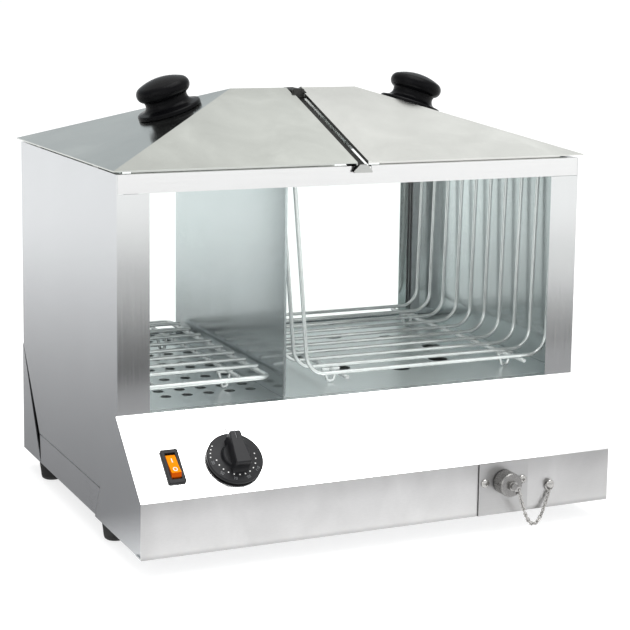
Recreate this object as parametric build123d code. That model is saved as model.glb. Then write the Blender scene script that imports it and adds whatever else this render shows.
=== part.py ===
from build123d import *
import os
import math

# ---------------------------------------------------------------------------
# Counter-top hot dog steamer: bun side and sausage side under two hinged lids,
# glazed front and back, water tank with heating element under the steam plates.
# Millimetres, +Z up, front towards -Y. Modelled with y = 0 on the front face of
# the posts, then shifted so that the origin is the bounding box bottom centre.
# ---------------------------------------------------------------------------

# ---- driving dimensions ----
W = 445.0                 # width over the side panels
HX = W / 2
T = 1.0                   # sheet thickness of the shell
D = 296.0                 # depth of the upper body, post face to rear face
POST = 28.5               # width of a corner post
Z_BASE = 16.6             # underside of the base tray
Z_SIDE = 14.6             # bottom edge of the side panels' front part
Z_LIP = 15.1              # underside of the skirt's bottom return
Z_FOOT = 1.8              # the feet reach this far below z = 0, and all is lifted by it
Z_SEAM = 45.0             # top edge of the tray's side flange
Z_SKIRT = 62.5            # top of the vertical skirt
Z_SILL = 120.0            # sill, and top of the steam plates
Z_WIN = 127.0             # lower edge of the rear window
Z_HDR = 306.0             # lower edge of the headers
Z_TOP = 322.5             # top of the headers and side panels
Y_SKIRT = -64.0           # front face of the skirt
PAN_T = 1.2               # control panel sheet
PAN_HX = 224.0            # half width of the control panel
Z_REAR_K = 122.0          # rear wall starts to lean in below this
Y_LEAN = 241.0            # rear wall at the seam height
Y_REAR_B = 238.0          # rear wall at the bottom
Y_COVER = 299.0           # rear face of the rear cover
LID_Z = 326.0             # top of the lid sheet at the eaves
RIDGE_Z = 381.0           # ridge height
RIDGE_X = 64.0            # half length of the ridge
LID_OX = 226.0            # half width over the lids
LID_OY = 3.0              # lid overhang in front and behind
LID_IN = 5.2              # half gap between the two lids
YC_LID = D / 2            # ridge line
HINGE_X, HINGE_Z = 4.0, 378.0
DIV_X = -68.0             # divider
PLATE_T = 1.0
TANK_Z = 38.5             # underside of the tank
WIRE_Y0, WIRE_DY, WIRE_N = 18.0, 28.7, 10
BASK_Z = 136.0            # centre of the basket's bottom wires
BASK_TOP = 309.0
DRAIN_X, DRAIN_Z = 113.4, 44.7
DIAL_X, DIAL_S = -134.0, 54.5
SW_X, SW_S = -188.3, 54.5
KNOB_X = 123.0

FRONT_RISE = (RIDGE_Z - LID_Z) / (D / 2 + LID_OY)
SIDE_RISE = (RIDGE_Z - LID_Z) / (LID_OX - RIDGE_X)

PARTS = {}


def add(name, *shapes):
    PARTS[name] = [s for s in shapes]


# ---- helpers ----
GL_HX = 213.0             # half width of the glass panes

def bx(x0, x1, y0, y1, z0, z1):
    return Pos((x0 + x1) / 2, (y0 + y1) / 2, (z0 + z1) / 2) * Box(x1 - x0, y1 - y0, z1 - z0)


def poly_solid(points, vec):
    w = Wire.make_polygon([Vector(*p) for p in points], close=True)
    return Solid.extrude(Face(w), Vector(*vec))


def prism_x(pts, x0, x1):
    return poly_solid([(x0, y, z) for y, z in pts], (x1 - x0, 0, 0))


def prism_y(pts, y0, y1):
    return poly_solid([(x, y0, z) for x, z in pts], (0, y1 - y0, 0))


def prism_z(pts, z0, z1):
    return poly_solid([(x, y, z0) for x, y in pts], (0, 0, z1 - z0))


def cyl(p, d, r, h):
    return Solid.make_cylinder(r, h, Plane(origin=Vector(*p), z_dir=Vector(*d)))


def cone(p, d, r0, r1, h):
    return Solid.make_cone(r0, r1, h, Plane(origin=Vector(*p), z_dir=Vector(*d)))


def ring(p, d, ro, ri, h):
    q = [p[i] - d[i] * 1.0 for i in range(3)]
    return cyl(p, d, ro, h) - cyl(q, d, ri, h + 2)


def tube(points, r, radii):
    """Round wire along straight runs joined by tangent arcs."""
    if len(points) > 2:
        path = FilletPolyline(*[Vector(*p) for p in points], radius=radii)
    else:
        path = Line(Vector(*points[0]), Vector(*points[1]))
    w = Wire(path.edges()) if not isinstance(path, Wire) else path
    start = w @ 0
    tan = w % 0
    prof = Plane(origin=start, z_dir=tan) * Circle(r)
    return sweep(prof, path=w)


def fuse(first, *rest):
    out = first
    for r in rest:
        out = out + r
    return out


def mirror_x(s):
    return mirror(s, about=Plane.YZ)


def profile_solid(rz, plane):
    """Revolve a half profile of (r, z) points about z, then place it."""
    w = Wire.make_polygon([Vector(r, 0, z) for r, z in rz], close=True)
    s = revolve(Face(w), Axis.Z, 360)
    return plane.location * s


# the sloping control panel: distance s down from the sill, height h off it
PAN_L = math.hypot(Y_SKIRT, Z_SILL - Z_SKIRT)
PC, PS = -Y_SKIRT / PAN_L, (Z_SILL - Z_SKIRT) / PAN_L
PAN_N = (0.0, -PS, PC)
PAN_D = (0.0, -PC, -PS)


def pan(x, s, h=0.0):
    return (x, -s * PC + PAN_N[1] * h, Z_SILL - s * PS + PAN_N[2] * h)


def pan_plane(x, s, h=0.0):
    # local x to the right, local y up the slope, local z out of the panel
    return Plane(origin=Vector(*pan(x, s, h)), x_dir=Vector(1, 0, 0), z_dir=Vector(*PAN_N))


def pan_box(x0, x1, s0, s1, h0, h1):
    p = pan_plane((x0 + x1) / 2, (s0 + s1) / 2, (h0 + h1) / 2)
    return p.location * Box(x1 - x0, s1 - s0, h1 - h0)


def roof_z(y):
    """Top of the lid sheet on its front and rear slopes."""
    return RIDGE_Z - abs(y - YC_LID) * FRONT_RISE


# ---------------------------------------------------------------------------
# Shell
# ---------------------------------------------------------------------------
def offset_panel_line(g):
    """Front outline of a side panel, g inside the control panel's back."""
    # vertical run at y = Y_SKIRT + g, slope offset by g along the normal
    dz = g / PC
    y0 = Y_SKIRT + g
    z_s = Z_SILL - dz + (y0 / -Y_SKIRT) * (Z_SILL - Z_SKIRT)
    return y0, z_s, Z_SILL - dz


G = PAN_T + 0.15
y_f, z_fs, z_fd = offset_panel_line(G)

side_outline = [
    (y_f, Z_SIDE + 1.9), (y_f, z_fs), (0.0, z_fd), (0.0, Z_TOP), (D, Z_TOP),
    (D, Z_REAR_K), (Y_LEAN, Z_SEAM), (49.3, Z_SEAM), (64.0, Z_BASE), (64.0, Z_SIDE),
    (-49.8, Z_SIDE), (-49.8, Z_SIDE + 1.9),
]


def side_panel(sgn):
    p = prism_x(side_outline, -HX, -HX + T)
    post_f = bx(-HX + T, -HX + POST, 0, T, Z_SILL + 0.3, Z_HDR)
    post_r = bx(-HX + T, -HX + POST + 2, D - T, D, Z_WIN + 0.4, Z_HDR)
    rim = bx(-HX + T, -HX + 6, T + 0.2, D - T - 0.2, Z_TOP - T, Z_TOP)
    # foot flange along the skirt and front return behind the skirt
    lip = bx(-HX + T, -HX + 10, y_f, y_f + T, Z_SIDE + 1.9, z_fs - 3)
    s = fuse(p, post_f, post_r, rim, lip)
    return s if sgn < 0 else mirror_x(s)


add("left_side_panel", side_panel(-1))
add("right_side_panel", side_panel(1))


def header(y_out, y_in):
    """Channel header: front face, top flange, lower hem, notch for the bridge."""
    s = 1 if y_in > y_out else -1
    a, b = sorted((y_out, y_out + s * T))
    face = bx(-HX + T + 0.1, HX - T - 0.1, a, b, Z_HDR + 0.35, Z_TOP)
    a, b = sorted((y_out + s * T, y_out + s * 6.0))
    top = bx(-HX + 6.3, HX - 6.3, a, b, Z_TOP - T, Z_TOP)
    a, b = sorted((y_out + s * T, y_out + s * 1.9))
    hem = bx(-HX + POST + 1, HX - POST - 1, a, b, Z_HDR + 0.35, Z_HDR + 7)
    notch = bx(-9.6, 9.6, min(y_out, y_in) - 1, max(y_out, y_in) + 1, 317.9, Z_TOP + 1)
    return fuse(face, top, hem) - notch


add("front_header", header(0.0, 6.0))
add("rear_header", header(D, D - 6.0))

# control panel: sill flange, slope, skirt and bottom return in one bent sheet
o = [(7.5, Z_SILL), (0.0, Z_SILL), (Y_SKIRT, Z_SKIRT), (Y_SKIRT, Z_LIP), (-50.0, Z_LIP)]
dz = PAN_T / PC
yi = Y_SKIRT + PAN_T
zi = Z_SILL - dz + (yi / -Y_SKIRT) * (Z_SILL - Z_SKIRT)
y_i0 = -(PAN_T - dz) * PC / PS
i_ = [(-50.0, Z_LIP + PAN_T), (yi, Z_LIP + PAN_T), (yi, zi), (y_i0, Z_SILL - PAN_T), (7.5, Z_SILL - PAN_T)]
cp = prism_x(o + i_, -PAN_HX, PAN_HX)
for sx in (-1, 1):
    xa, xb = sorted((sx * (HX - T - 0.2), sx * (PAN_HX + 1)))
    cp = cp - bx(xa, xb, -0.1, 9.0, Z_SILL - 4, Z_SILL + 1)
cp = cp - pan_box(SW_X - 6.6, SW_X + 6.6, SW_S - 13.5, SW_S + 13.5, -6, 3)
cp = cp - cyl(pan(DIAL_X, DIAL_S, -4), PAN_N, 5.2, 8)
cp = cp - cyl(pan(DIAL_X - 14, DIAL_S, -4), PAN_N, 1.7, 8) - cyl(pan(DIAL_X + 14, DIAL_S, -4), PAN_N, 1.7, 8)
cp = cp - bx(DRAIN_X - 13, DRAIN_X + 13, Y_SKIRT - 1, Y_SKIRT + 2, DRAIN_Z - 13, DRAIN_Z + 11)
for sx in (-19.1, 19.1):
    cp = cp - cyl((DRAIN_X + sx, Y_SKIRT - 1, DRAIN_Z), (0, 1, 0), 1.6, 4)
cp = cp - cyl((160.9, Y_SKIRT - 1, 37.4), (0, 1, 0), 1.1, 4)
for sx in (-205, 205):
    cp = cp - cyl((sx, -56.5, Z_LIP - 1.5), (0, 0, 1), 1.8, 4)
add("control_panel", cp)

# base tray: floor, side flanges flush with the side panels, rear upstand
tray = bx(-HX + 2.2, HX - 2.2, -48, 62, Z_BASE, Z_BASE + T)
tray = tray + bx(-HX, HX, 64.15, Y_REAR_B - 0.8, Z_BASE, Z_BASE + T)
tray = tray + bx(-HX + 2.2, HX - 2.2, 61, 65, Z_BASE, Z_BASE + T)
for sg in (-1, 1):
    fl = prism_x([(64.15, Z_BASE), (50.0, Z_SEAM - 0.7), (Y_LEAN - 0.9, Z_SEAM - 0.7), (Y_REAR_B - 0.8, Z_BASE)], -HX, -HX + T)
    tray = tray + (fl if sg < 0 else mirror_x(fl))
# joggled lip that laps behind the side panel above the seam
for sg in (-1, 1):
    lip = bx(-HX + T, -HX + 2 * T, 58, 236, 32, 58)
    lip = lip + bx(-HX + 0.5, -HX + T + 0.2, 58, 236, 32, Z_SEAM - 0.7)
    tray = tray + (lip if sg < 0 else mirror_x(lip))
tray = tray + bx(-HX + T + 0.3, HX - T - 0.3, Y_REAR_B - 2, 262.0, Z_BASE, Z_BASE + T)
FEET = [(-209, 48), (209, 48), (-209, 246), (209, 246)]
for fx, fy in FEET:
    tray = tray - cyl((fx, fy, 15), (0, 0, 1), 2.6, 8)
for k in range(7):
    tray = tray - bx(-66 + k * 20, -60 + k * 20, 90, 150, 15, 24)
for sx in (-205, 205):
    tray = tray - cyl((sx, -40.0, 16), (0, 0, 1), 1.8, 6)
for sx in (-150, 150):
    tab = bx(sx - 11, sx + 11, 254, 280, Z_BASE + T + 0.02, Z_BASE + T + 1.22) + bx(sx - 11, sx + 11, 254, 262, Z_BASE + 0.5, Z_BASE + T + 1.22)
    tab = tab - cyl((sx, 272.0, 15), (0, 0, 1), 1.65, 12)
    tray = tray + tab
add("base_tray", tray)

# rear wall under the window: upright strip, lean and short upstand
r_o = [(D, Z_WIN), (D, Z_REAR_K), (Y_LEAN, Z_SEAM), (Y_REAR_B, Z_BASE + T + 0.2)]
r_i = [(Y_REAR_B - T, Z_BASE + T + 0.2), (Y_LEAN - T * 1.05, Z_SEAM + 0.3), (D - T, Z_REAR_K + 0.4), (D - T, Z_WIN)]
rw = prism_x(r_o + r_i, -HX + T + 0.2, HX - T - 0.2)
rw = rw + bx(-GL_HX, GL_HX, D - 7.0, D - T, Z_REAR_K, Z_REAR_K + T)
lean = math.hypot(D - Y_LEAN, Z_REAR_K - Z_SEAM)
RD = (0.0, (D - Y_LEAN) / lean, (Z_REAR_K - Z_SEAM) / lean)      # up the lean
RN = (0.0, RD[2], -RD[1])                                          # out of the lean


def rear(x, s, h=0.0):
    return (x, Y_LEAN + RD[1] * s + RN[1] * h, Z_SEAM + RD[2] * s + RN[2] * h)


def rear_plane(x, s, h=0.0):
    return Plane(origin=Vector(*rear(x, s, h)), x_dir=Vector(1, 0, 0), z_dir=Vector(*RN))


rw = rw - cyl((-60, 234, 31.2), (0, 1, 0), 8.0, 10)      # wires
rw = rw - cyl(rear(60, 34, -4), RN, 7.6, 8)           # cut-out body
for sx in (-138, -102):
    rw = rw - cyl(rear(sx, 30, -4), RN, 1.6, 8)
for sx in (-190, 0, 190):
    rw = rw - cyl((sx, D - 9, 117.0), (0, 1, 0), 1.65, 12)
add("rear_base_wall", rw)

# rear cover: back, cheeks, bottom and top hem
cv = bx(-HX, HX, Y_COVER - T, Y_COVER, Z_BASE, Z_REAR_K)
cheek = prism_x([(Y_COVER, Z_REAR_K), (Y_COVER, Z_BASE), (Y_REAR_B + 0.6, Z_BASE), (D + 0.9, Z_REAR_K)], -HX, -HX + T)
cv = cv + cheek + mirror_x(cheek)
cv = cv + bx(-HX, HX, 262.5, Y_COVER, Z_BASE, Z_BASE + T)
cv = cv + bx(-HX, HX, D + 0.9, Y_COVER, Z_REAR_K - T, Z_REAR_K)
GL_X, GL_Z = -150.0, 46.0
cv = cv - cyl((GL_X, Y_COVER - 4, GL_Z), (0, 1, 0), 7.0, 8)
for r in range(3):
    for k in range(8):
        cv = cv - bx(20 + k * 16, 28 + k * 16, Y_COVER - 3, Y_COVER + 1, 60 + r * 15, 63 + r * 15)
RC_TOP = [(-190, 117.0), (0, 117.0), (190, 117.0)]     # into the leaning rear wall
RC_BOT = [(-150, 272.0), (150, 272.0)]                 # up into tabs on the tray
for sx, sz in RC_TOP:
    cv = cv - cyl((sx, Y_COVER - 3, sz), (0, 1, 0), 1.75, 6)
for sx, sy in RC_BOT:
    cv = cv - cyl((sx, sy, Z_BASE - 2), (0, 0, 1), 1.75, 4)
# access hole for the reset button
cv = cv - cyl((60, Y_COVER - 3, 45.7), (0, 1, 0), 6.0, 6)
add("rear_cover", cv)


def pan_head(p, d, r, h, shank_r, shank_l, cross=0.0):
    """Domed screw: head out along d from p, shank the other way."""
    n = 6
    pts = [(0.0, -shank_l), (shank_r, -shank_l), (shank_r, 0.0), (r, 0.0), (r, 0.25 * h)]
    for k in range(1, n + 1):
        a = math.radians(90 * k / n)
        pts.append((r * math.cos(a), 0.25 * h + 0.75 * h * math.sin(a)))
    pts[-1] = (0.0, h)
    pl = Plane(origin=Vector(*p), z_dir=Vector(*d))
    s = profile_solid(pts, pl)
    if cross:
        c = Box(cross, cross * 0.26, h * 1.2) + Box(cross * 0.26, cross, h * 1.2)
        s = s - (pl.location * (Pos(0, 0, h * 1.05) * c))
    return s


rcs = [pan_head((sx, Y_COVER + 0.02, sz), (0, 1, 0), 3.4, 2.2, 1.6, 7.6, 2.6) for sx, sz in RC_TOP]
rcs += [pan_head((sx, sy, Z_BASE - 0.02), (0, 0, -1), 3.4, 2.2, 1.6, 9.5, 2.6) for sx, sy in RC_BOT]
add("rear_cover_screws", *rcs)

# cable bush in the rear cover
gl = ring((GL_X, Y_COVER + 0.1, GL_Z), (0, 1, 0), 10.0, 4.0, 3.0)
gl = gl + ring((GL_X, Y_COVER + 3.0, GL_Z), (0, 1, 0), 7.0, 4.0, 3.6)
gl = gl + ring((GL_X, Y_COVER - T - 0.1, GL_Z), (0, 1, 0), 6.8, 4.0, 1.3)
gl = gl + ring((GL_X, Y_COVER - T - 2.6, GL_Z), (0, 1, 0), 9.0, 4.0, 2.5)
gl = gl - cyl((GL_X, Y_COVER - 10, GL_Z), (0, 1, 0), 4.0, 30)
add("cable_bush", gl)

# ---------------------------------------------------------------------------
# Feet
# ---------------------------------------------------------------------------
feet, fscr = [], []
for fx, fy in FEET:
    prof = [(2.6, Z_BASE), (12.0, Z_BASE), (11.8, Z_BASE - 4), (10.4, 1.4), (9.8, -0.6), (8.2, -Z_FOOT), (5.0, -Z_FOOT), (5.0, 3.6), (2.6, 3.6)]
    feet.append(profile_solid(prof, Plane(origin=Vector(fx, fy, 0))))
    s = [(0.0, -0.8), (4.4, -0.8), (4.6, 1.2), (4.4, 3.45), (2.45, 3.45), (2.45, 23.6), (0.0, 23.6)]
    fscr.append(profile_solid(s, Plane(origin=Vector(fx, fy, 0))))
add("rubber_feet", *feet)
add("foot_screws", *fscr)

# ---------------------------------------------------------------------------
# Glass and its channels
# ---------------------------------------------------------------------------
GL_TOP = 315.5
add("front_glass", bx(-GL_HX, GL_HX, 2.2, 6.2, Z_SILL + 0.4, GL_TOP))
add("rear_glass", bx(-GL_HX, GL_HX, D - 6.2, D - 2.2, Z_REAR_K + T + 0.1, GL_TOP))


def channel(y0, s, z0):
    """U channel on the glass edge; y0 is the post's inner face, s its inward sense."""
    def yb(a, b):
        return tuple(sorted((y0 + s * a, y0 + s * b)))
    a, b = yb(0.1, 6.0)
    web = bx(-GL_HX - 1.4, -GL_HX - 0.4, a, b, z0, GL_TOP)
    a, b = yb(0.1, 0.9)
    f1 = bx(-GL_HX - 1.4, -GL_HX + 9, a, b, z0, GL_TOP)
    a, b = yb(5.4, 6.2)
    f2 = bx(-GL_HX - 1.4, -GL_HX + 9, a, b, z0, GL_TOP)
    c = fuse(web, f1, f2)
    return [c, mirror_x(c)]


add("front_glass_channels", *channel(T, 1, Z_SILL + 0.4))
add("rear_glass_channels", *channel(D - T, -1, Z_WIN + 1.0))

# ---------------------------------------------------------------------------
# Water tank, element, thermostat
# ---------------------------------------------------------------------------
TY0, TY1B, TY1T = 9.0, 226.0, 278.0
t_out = [(TY0, TANK_Z), (TY0, 118.0), (TY1T, 118.0), (TY1B, TANK_Z)]
t_in = [(TY0 + T, TANK_Z + T), (TY0 + T, 119.0), (TY1T - T * 1.2, 119.0), (TY1B - T * 1.2, TANK_Z + T)]
TX = 217.0
tank = prism_x(t_out, -TX, TX) - prism_x(t_in, -TX + T, TX - T)
rim = bx(-HX + T + 0.3, HX - T - 0.3, 8.0, 290.3, 117.0, 118.0) - bx(-TX + 0.5, TX - 0.5, TY0 + 0.5, TY1T - 0.6, 110, 120)
tank = tank + rim
tank = tank - cyl((DRAIN_X, TY0 - 3, DRAIN_Z), (0, 1, 0), 6.6, 8)
EL_Z = 54.0
EL_A, EL_B = -36.0, 6.0
for ex in (EL_A, EL_B):
    tank = tank - cyl((ex, TY0 - 3, EL_Z), (0, 1, 0), 6.1, 8)
tank = tank - cyl((-112, TY0 - 3, 62), (0, 1, 0), 4.1, 8)
add("water_tank", tank)
sup = []
for sx in (-120, 120):
    # channel that carries the tank off the tray
    c = bx(sx - 14, sx + 14, 20, 224, Z_BASE + T + 0.05, TANK_Z - 0.05) - bx(sx - 13, sx + 13, 19, 225, Z_BASE + T - 1, TANK_Z - 1.1)
    sup.append(c)
add("tank_supports", *sup)

# bar under the joint of the two steam plates; the divider stands in its slot
BAR_Y1 = 267.0
bar = bx(DIV_X - 9, DIV_X + 9, TY0 + T + 0.3, BAR_Y1, 106.0, 118.9)
bar = bar - bx(DIV_X - 8, DIV_X + 8, 0, 300, 105.0, 117.7)
bar = bar + bx(DIV_X - 9, DIV_X + 9, TY0 + T + 0.3, TY0 + T + 1.5, 106.0, 118.0)
bar = bar + bx(DIV_X - 9, DIV_X + 9, BAR_Y1 - 1.2, BAR_Y1, 106.0, 118.0)
bar = bar - bx(DIV_X - 0.65, DIV_X + 0.65, 15.0, 262.0, 100, 120)
add("plate_support_bar", bar)

# steam plates
PL_Y0, PL_Y1 = 8.3, 288.6
lp = bx(-HX + T + 0.3, DIV_X - 0.7, PL_Y0, PL_Y1, Z_SILL - PLATE_T, Z_SILL)
for r in range(12):
    for c in range(7):
        hx, hy = DIV_X - 14.0 - 20.0 * c, 50.0 + 20.0 * r
        if hy < 276:
            lp = lp - cyl((hx, hy, 110), (0, 0, 1), 4.9, 20)
add("bun_steam_plate", lp)
rp = bx(DIV_X + 0.7, HX - T - 0.3, PL_Y0, PL_Y1, Z_SILL - PLATE_T, Z_SILL)
for k in range(8):
    a = math.radians(45 * k)
    rp = rp - cyl((81.0 + 74 * math.cos(a), 150 + 76 * math.sin(a), 110), (0, 0, 1), 9.3, 20)
add("sausage_steam_plate", rp)

# divider with hemmed front edge
dv = bx(DIV_X - 0.5, DIV_X + 0.5, 7.4, 282.0, Z_SILL + 0.2, 314.0)
dv = dv + bx(DIV_X - 0.5, DIV_X + 0.5, 15.3, 261.7, 112.0, Z_SILL + 0.3)
dv = dv + bx(DIV_X - 0.5, DIV_X + 1.5, 7.4, 15.4, Z_SILL + 0.6, 312.0)
add("center_divider", dv)

# heating element: one bent tube, both ends through the front of the tank
el = tube([(EL_A, -12, EL_Z), (EL_A, 70, EL_Z), (-176, 70, EL_Z), (-176, 200, EL_Z), (176, 200, EL_Z),
           (176, 70, EL_Z), (EL_B, 70, EL_Z), (EL_B, -12, EL_Z)], 4.0, 20.0)
for ex in (EL_A, EL_B):
    el = el + cyl((ex, -21, EL_Z), (0, 1, 0), 1.6, 10.0) + bx(ex - 3.2, ex + 3.2, -27, -20, EL_Z - 0.4, EL_Z + 0.4)
add("heating_element", el)
nuts = []
for ex in (EL_A, EL_B):
    body = ring((ex, TY0 - 0.2 - 5.5, EL_Z), (0, 1, 0), 8.5, 4.05, 5.5)
    body = body + ring((ex, TY0 - 1.0, EL_Z), (0, 1, 0), 5.9, 4.05, 6.0)
    body = body + ring((ex, TY0 + T + 0.2, EL_Z), (0, 1, 0), 8.0, 4.05, 3.6)
    nuts.append(body - cyl((ex, -20, EL_Z), (0, 1, 0), 4.05, 60))
add("element_bushings", *nuts)

# thermostat: body and stem behind the panel, sensing bulb in the tank
th = pan_box(DIAL_X - 17, DIAL_X + 17, DIAL_S - 15, DIAL_S + 15, -PAN_T - 22.0, -PAN_T - 2.2)
th = th + cyl(pan(DIAL_X, DIAL_S, -PAN_T - 2.4), PAN_N, 4.9, 6.5)
th = th - cyl(pan(DIAL_X, DIAL_S, -PAN_T - 12), PAN_N, 3.05, 20)
for sx in (-14, 14):
    th = th + cyl(pan(DIAL_X + sx, DIAL_S, -PAN_T - 2.3), PAN_N, 3.0, 2.2)
    th = th - cyl(pan(DIAL_X + sx, DIAL_S, -PAN_T - 9), PAN_N, 1.25, 12)
add("thermostat_body", th)
add("thermostat_screws", *[pan_head(pan(DIAL_X + sx, DIAL_S, 0.02), PAN_N, 2.5, 1.1, 1.2, 6.0) for sx in (-14, 14)])
# capillary tube, gland and bulb are one soldered piece
bulb = tube([(-112, 19.0, 62), (-112, -17, 62), (-112, -17, 40), (-128, -17, 40), (-128, -17, 59.0)], 1.2, 5.0)
bulb = bulb + cyl((-112, 18.0, 62), (0, 1, 0), 3.4, 70)
bulb = bulb + cyl((-112, TY0 - 4.4, 62), (0, 1, 0), 6.0, 4.2) + cyl((-112, TY0 - 0.4, 62), (0, 1, 0), 4.0, 3.0)
bulb = bulb + cyl((-112, TY0 + T + 0.2, 62), (0, 1, 0), 5.6, 2.6)
add("thermostat_bulb", bulb)

# dial: skirt with pointer grip on a D shaft
dpl = pan_plane(DIAL_X, DIAL_S, 1.4)
dial_prof = [(6.4, 0.0), (24.2, 0.0), (24.4, 0.8), (24.4, 2.4), (23.9, 3.2),
             (13.2, 4.6), (12.6, 5.2), (12.0, 8.2), (11.2, 8.9), (0.0, 8.9), (0.0, 8.0), (3.05, 8.0), (3.05, 2.6), (6.4, 2.6)]
dial = profile_solid(dial_prof, dpl)
# grip: narrower at the pointer end, drafted sides, scooped at the thumb end
gf = make_face(Polyline((-7.8, -15.4), (7.8, -15.4), (5.6, 17.6), (-5.6, 17.6), close=True))
gf = fillet(gf.vertices(), 2.2)
grip = Pos(0, 0, 3.4) * extrude(gf, 15.6, dir=(0, 0, 1), taper=3.0)
grip = fillet(grip.edges().group_by(Axis.Z)[-1], 1.0)
grip = grip - Pos(0, -23.4, 10.0) * (Rot(0, 90, 0) * Cylinder(10.0, 30))
grip = grip - Pos(0, 15.0, 19.0) * Box(1.1, 12.0, 1.2)
dial = dial + (dpl.location * grip)
dial = dial - (dpl.location * (Pos(0, 0, 2.0) * Cylinder(3.05, 12.0)))
add("thermostat_dial", dial)
sh = cyl(pan(DIAL_X, DIAL_S, -PAN_T - 11.8), PAN_N, 3.0, 11.8 + PAN_T + 1.4 + 7.6)
add("thermostat_shaft", sh)

# rocker switch: frame, body and rocker
spl = pan_plane(SW_X, SW_S)
frame = Box(15.4, 33.0, 2.2)
frame = fillet(frame.edges().filter_by(Axis.Z), 1.6)
frame = Pos(0, 0, 1.12) * frame
frame = chamfer(frame.edges().group_by(Axis.Z)[-1], 0.6)
frame = frame - Pos(0, 0, 1) * Box(9.2, 25.6, 12)
body = Pos(0, 0, -11.0) * Box(12.6, 26.6, 22.0)
body = body - Pos(0, 0, -4.0) * Box(11.0, 25.4, 12.4)
sw = frame + (Pos(0, 0, 0.4) * (Box(12.6, 26.6, 2.0) - Box(11.0, 25.4, 4)))
sw = sw + body
for k in (-8, 0, 8):
    sw = sw + Pos(0, k, -25.5) * Box(4.8, 0.8, 7.4)
sw = sw - Pos(0, 0, -1.8) * (Rot(0, 90, 0) * Cylinder(1.05, 12.3))
add("switch_body", spl.location * sw)
# rocker: two facets that meet in a shallow valley, pivot across the middle
rk = [(-11.0, -1.4), (-11.0, 2.4), (-8.4, 5.3), (0.0, 3.1), (9.8, 1.7), (11.0, 1.1), (11.0, -2.6), (4.0, -5.6), (-4.0, -5.6)]
rock = poly_solid([(-4.2, a, b) for a, b in rk], (8.4, 0, 0))
rock = rock - cyl((-6, 0, -1.8), (1, 0, 0), 1.06, 12)
add("power_rocker", spl.location * rock)
add("rocker_pin", spl.location * cyl((-6.05, 0, -1.8), (1, 0, 0), 1.0, 12.1))

# ---------------------------------------------------------------------------
# Drain
# ---------------------------------------------------------------------------
dp = bx(88.5, 138.3, Y_SKIRT - 1.35, Y_SKIRT - 0.15, Z_LIP + 0.1, 62.2)
dp = dp - cyl((DRAIN_X, Y_SKIRT - 3, DRAIN_Z), (0, 1, 0), 7.2, 6)
for sx in (-19.1, 19.1):
    dp = dp - cyl((DRAIN_X + sx, Y_SKIRT - 3, DRAIN_Z), (0, 1, 0), 1.7, 6)
add("drain_plate", dp)
add("drain_plate_screws", *[pan_head((DRAIN_X + sx, Y_SKIRT - 1.38, DRAIN_Z), (0, -1, 0), 3.9, 2.9, 1.5, 7.0, 3.0) for sx in (-19.1, 19.1)])
dr = ring((DRAIN_X, Y_SKIRT - 9.5, DRAIN_Z), (0, 1, 0), 6.5, 4.6, -Y_SKIRT + 9.5 + TY0 + 0.9)
dr = dr + ring((DRAIN_X, TY0 - 0.2 - 5.0, DRAIN_Z), (0, 1, 0), 10.0, 4.6, 5.0)
dr = dr - cyl((DRAIN_X, -90, DRAIN_Z), (0, 1, 0), 4.6, 130)
add("drain_pipe", dr)

# cap: knurled rim, thread bore with 0.15 clearance, swivel stud on the face
CAP_Y1 = Y_SKIRT - 1.9           # back of the cap
CAP_Y0 = CAP_Y1 - 14.0           # face
cap = cyl((DRAIN_X, CAP_Y0 + 0.8, DRAIN_Z), (0, 1, 0), 10.7, 13.2)
cap = cap + cone((DRAIN_X, CAP_Y0, DRAIN_Z), (0, 1, 0), 9.9, 10.7, 0.8)
cap = cap - cyl((DRAIN_X, Y_SKIRT - 9.5 - 1.9, DRAIN_Z), (0, 1, 0), 6.65, 20)
cap = cap + cyl((DRAIN_X, CAP_Y0 - 3.5, DRAIN_Z), (0, 1, 0), 1.9, 4.0) + cyl((DRAIN_X, CAP_Y0 - 4.6, DRAIN_Z), (0, 1, 0), 2.9, 1.2)
for k in range(30):
    a = math.radians(12 * k)
    cap = cap - cyl((DRAIN_X + 11.1 * math.cos(a), CAP_Y0 + 2.4, DRAIN_Z + 11.1 * math.sin(a)), (0, 1, 0), 0.75, 9.2)
add("drain_cap", cap)
add("drain_cap_washer", ring((DRAIN_X, Y_SKIRT - 9.5 - 1.75, DRAIN_Z), (0, 1, 0), 6.3, 3.4, 1.6))
# eye plate that turns freely on the cap's stud and carries the chain
eye = bx(DRAIN_X - 3.6, DRAIN_X + 3.6, CAP_Y0 - 3.2, CAP_Y0 - 0.3, DRAIN_Z - 3.6, DRAIN_Z + 3.6)
eye = fillet(eye.edges().filter_by(Axis.Y), 1.8)
eye = eye + bx(DRAIN_X + 1.0, DRAIN_X + 7.3, CAP_Y0 - 3.0, CAP_Y0 - 2.0, DRAIN_Z - 5.3, DRAIN_Z - 0.8)
eye = eye - cyl((DRAIN_X, CAP_Y0 - 6, DRAIN_Z), (0, 1, 0), 1.95, 12)
eye = eye - cyl((DRAIN_X + 5.6, CAP_Y0 - 6, DRAIN_Z - 3.4), (0, 1, 0), 1.15, 12)
add("cap_chain_eye", eye)

RIV_X, RIV_Z = 160.9, 37.4
riv = pan_head((RIV_X, Y_SKIRT - 2.6, RIV_Z), (0, -1, 0), 3.8, 2.4, 1.0, 6.0)
add("chain_rivet", riv)

# chain of small oval links hanging in a curve from the cap's eye to the rivet
ex0 = Vector(DRAIN_X + 5.9, CAP_Y0 - 2.5, DRAIN_Z - 4.3)
ex1 = Vector(RIV_X, Y_SKIRT - 1.85, RIV_Z - 5.45)


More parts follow.
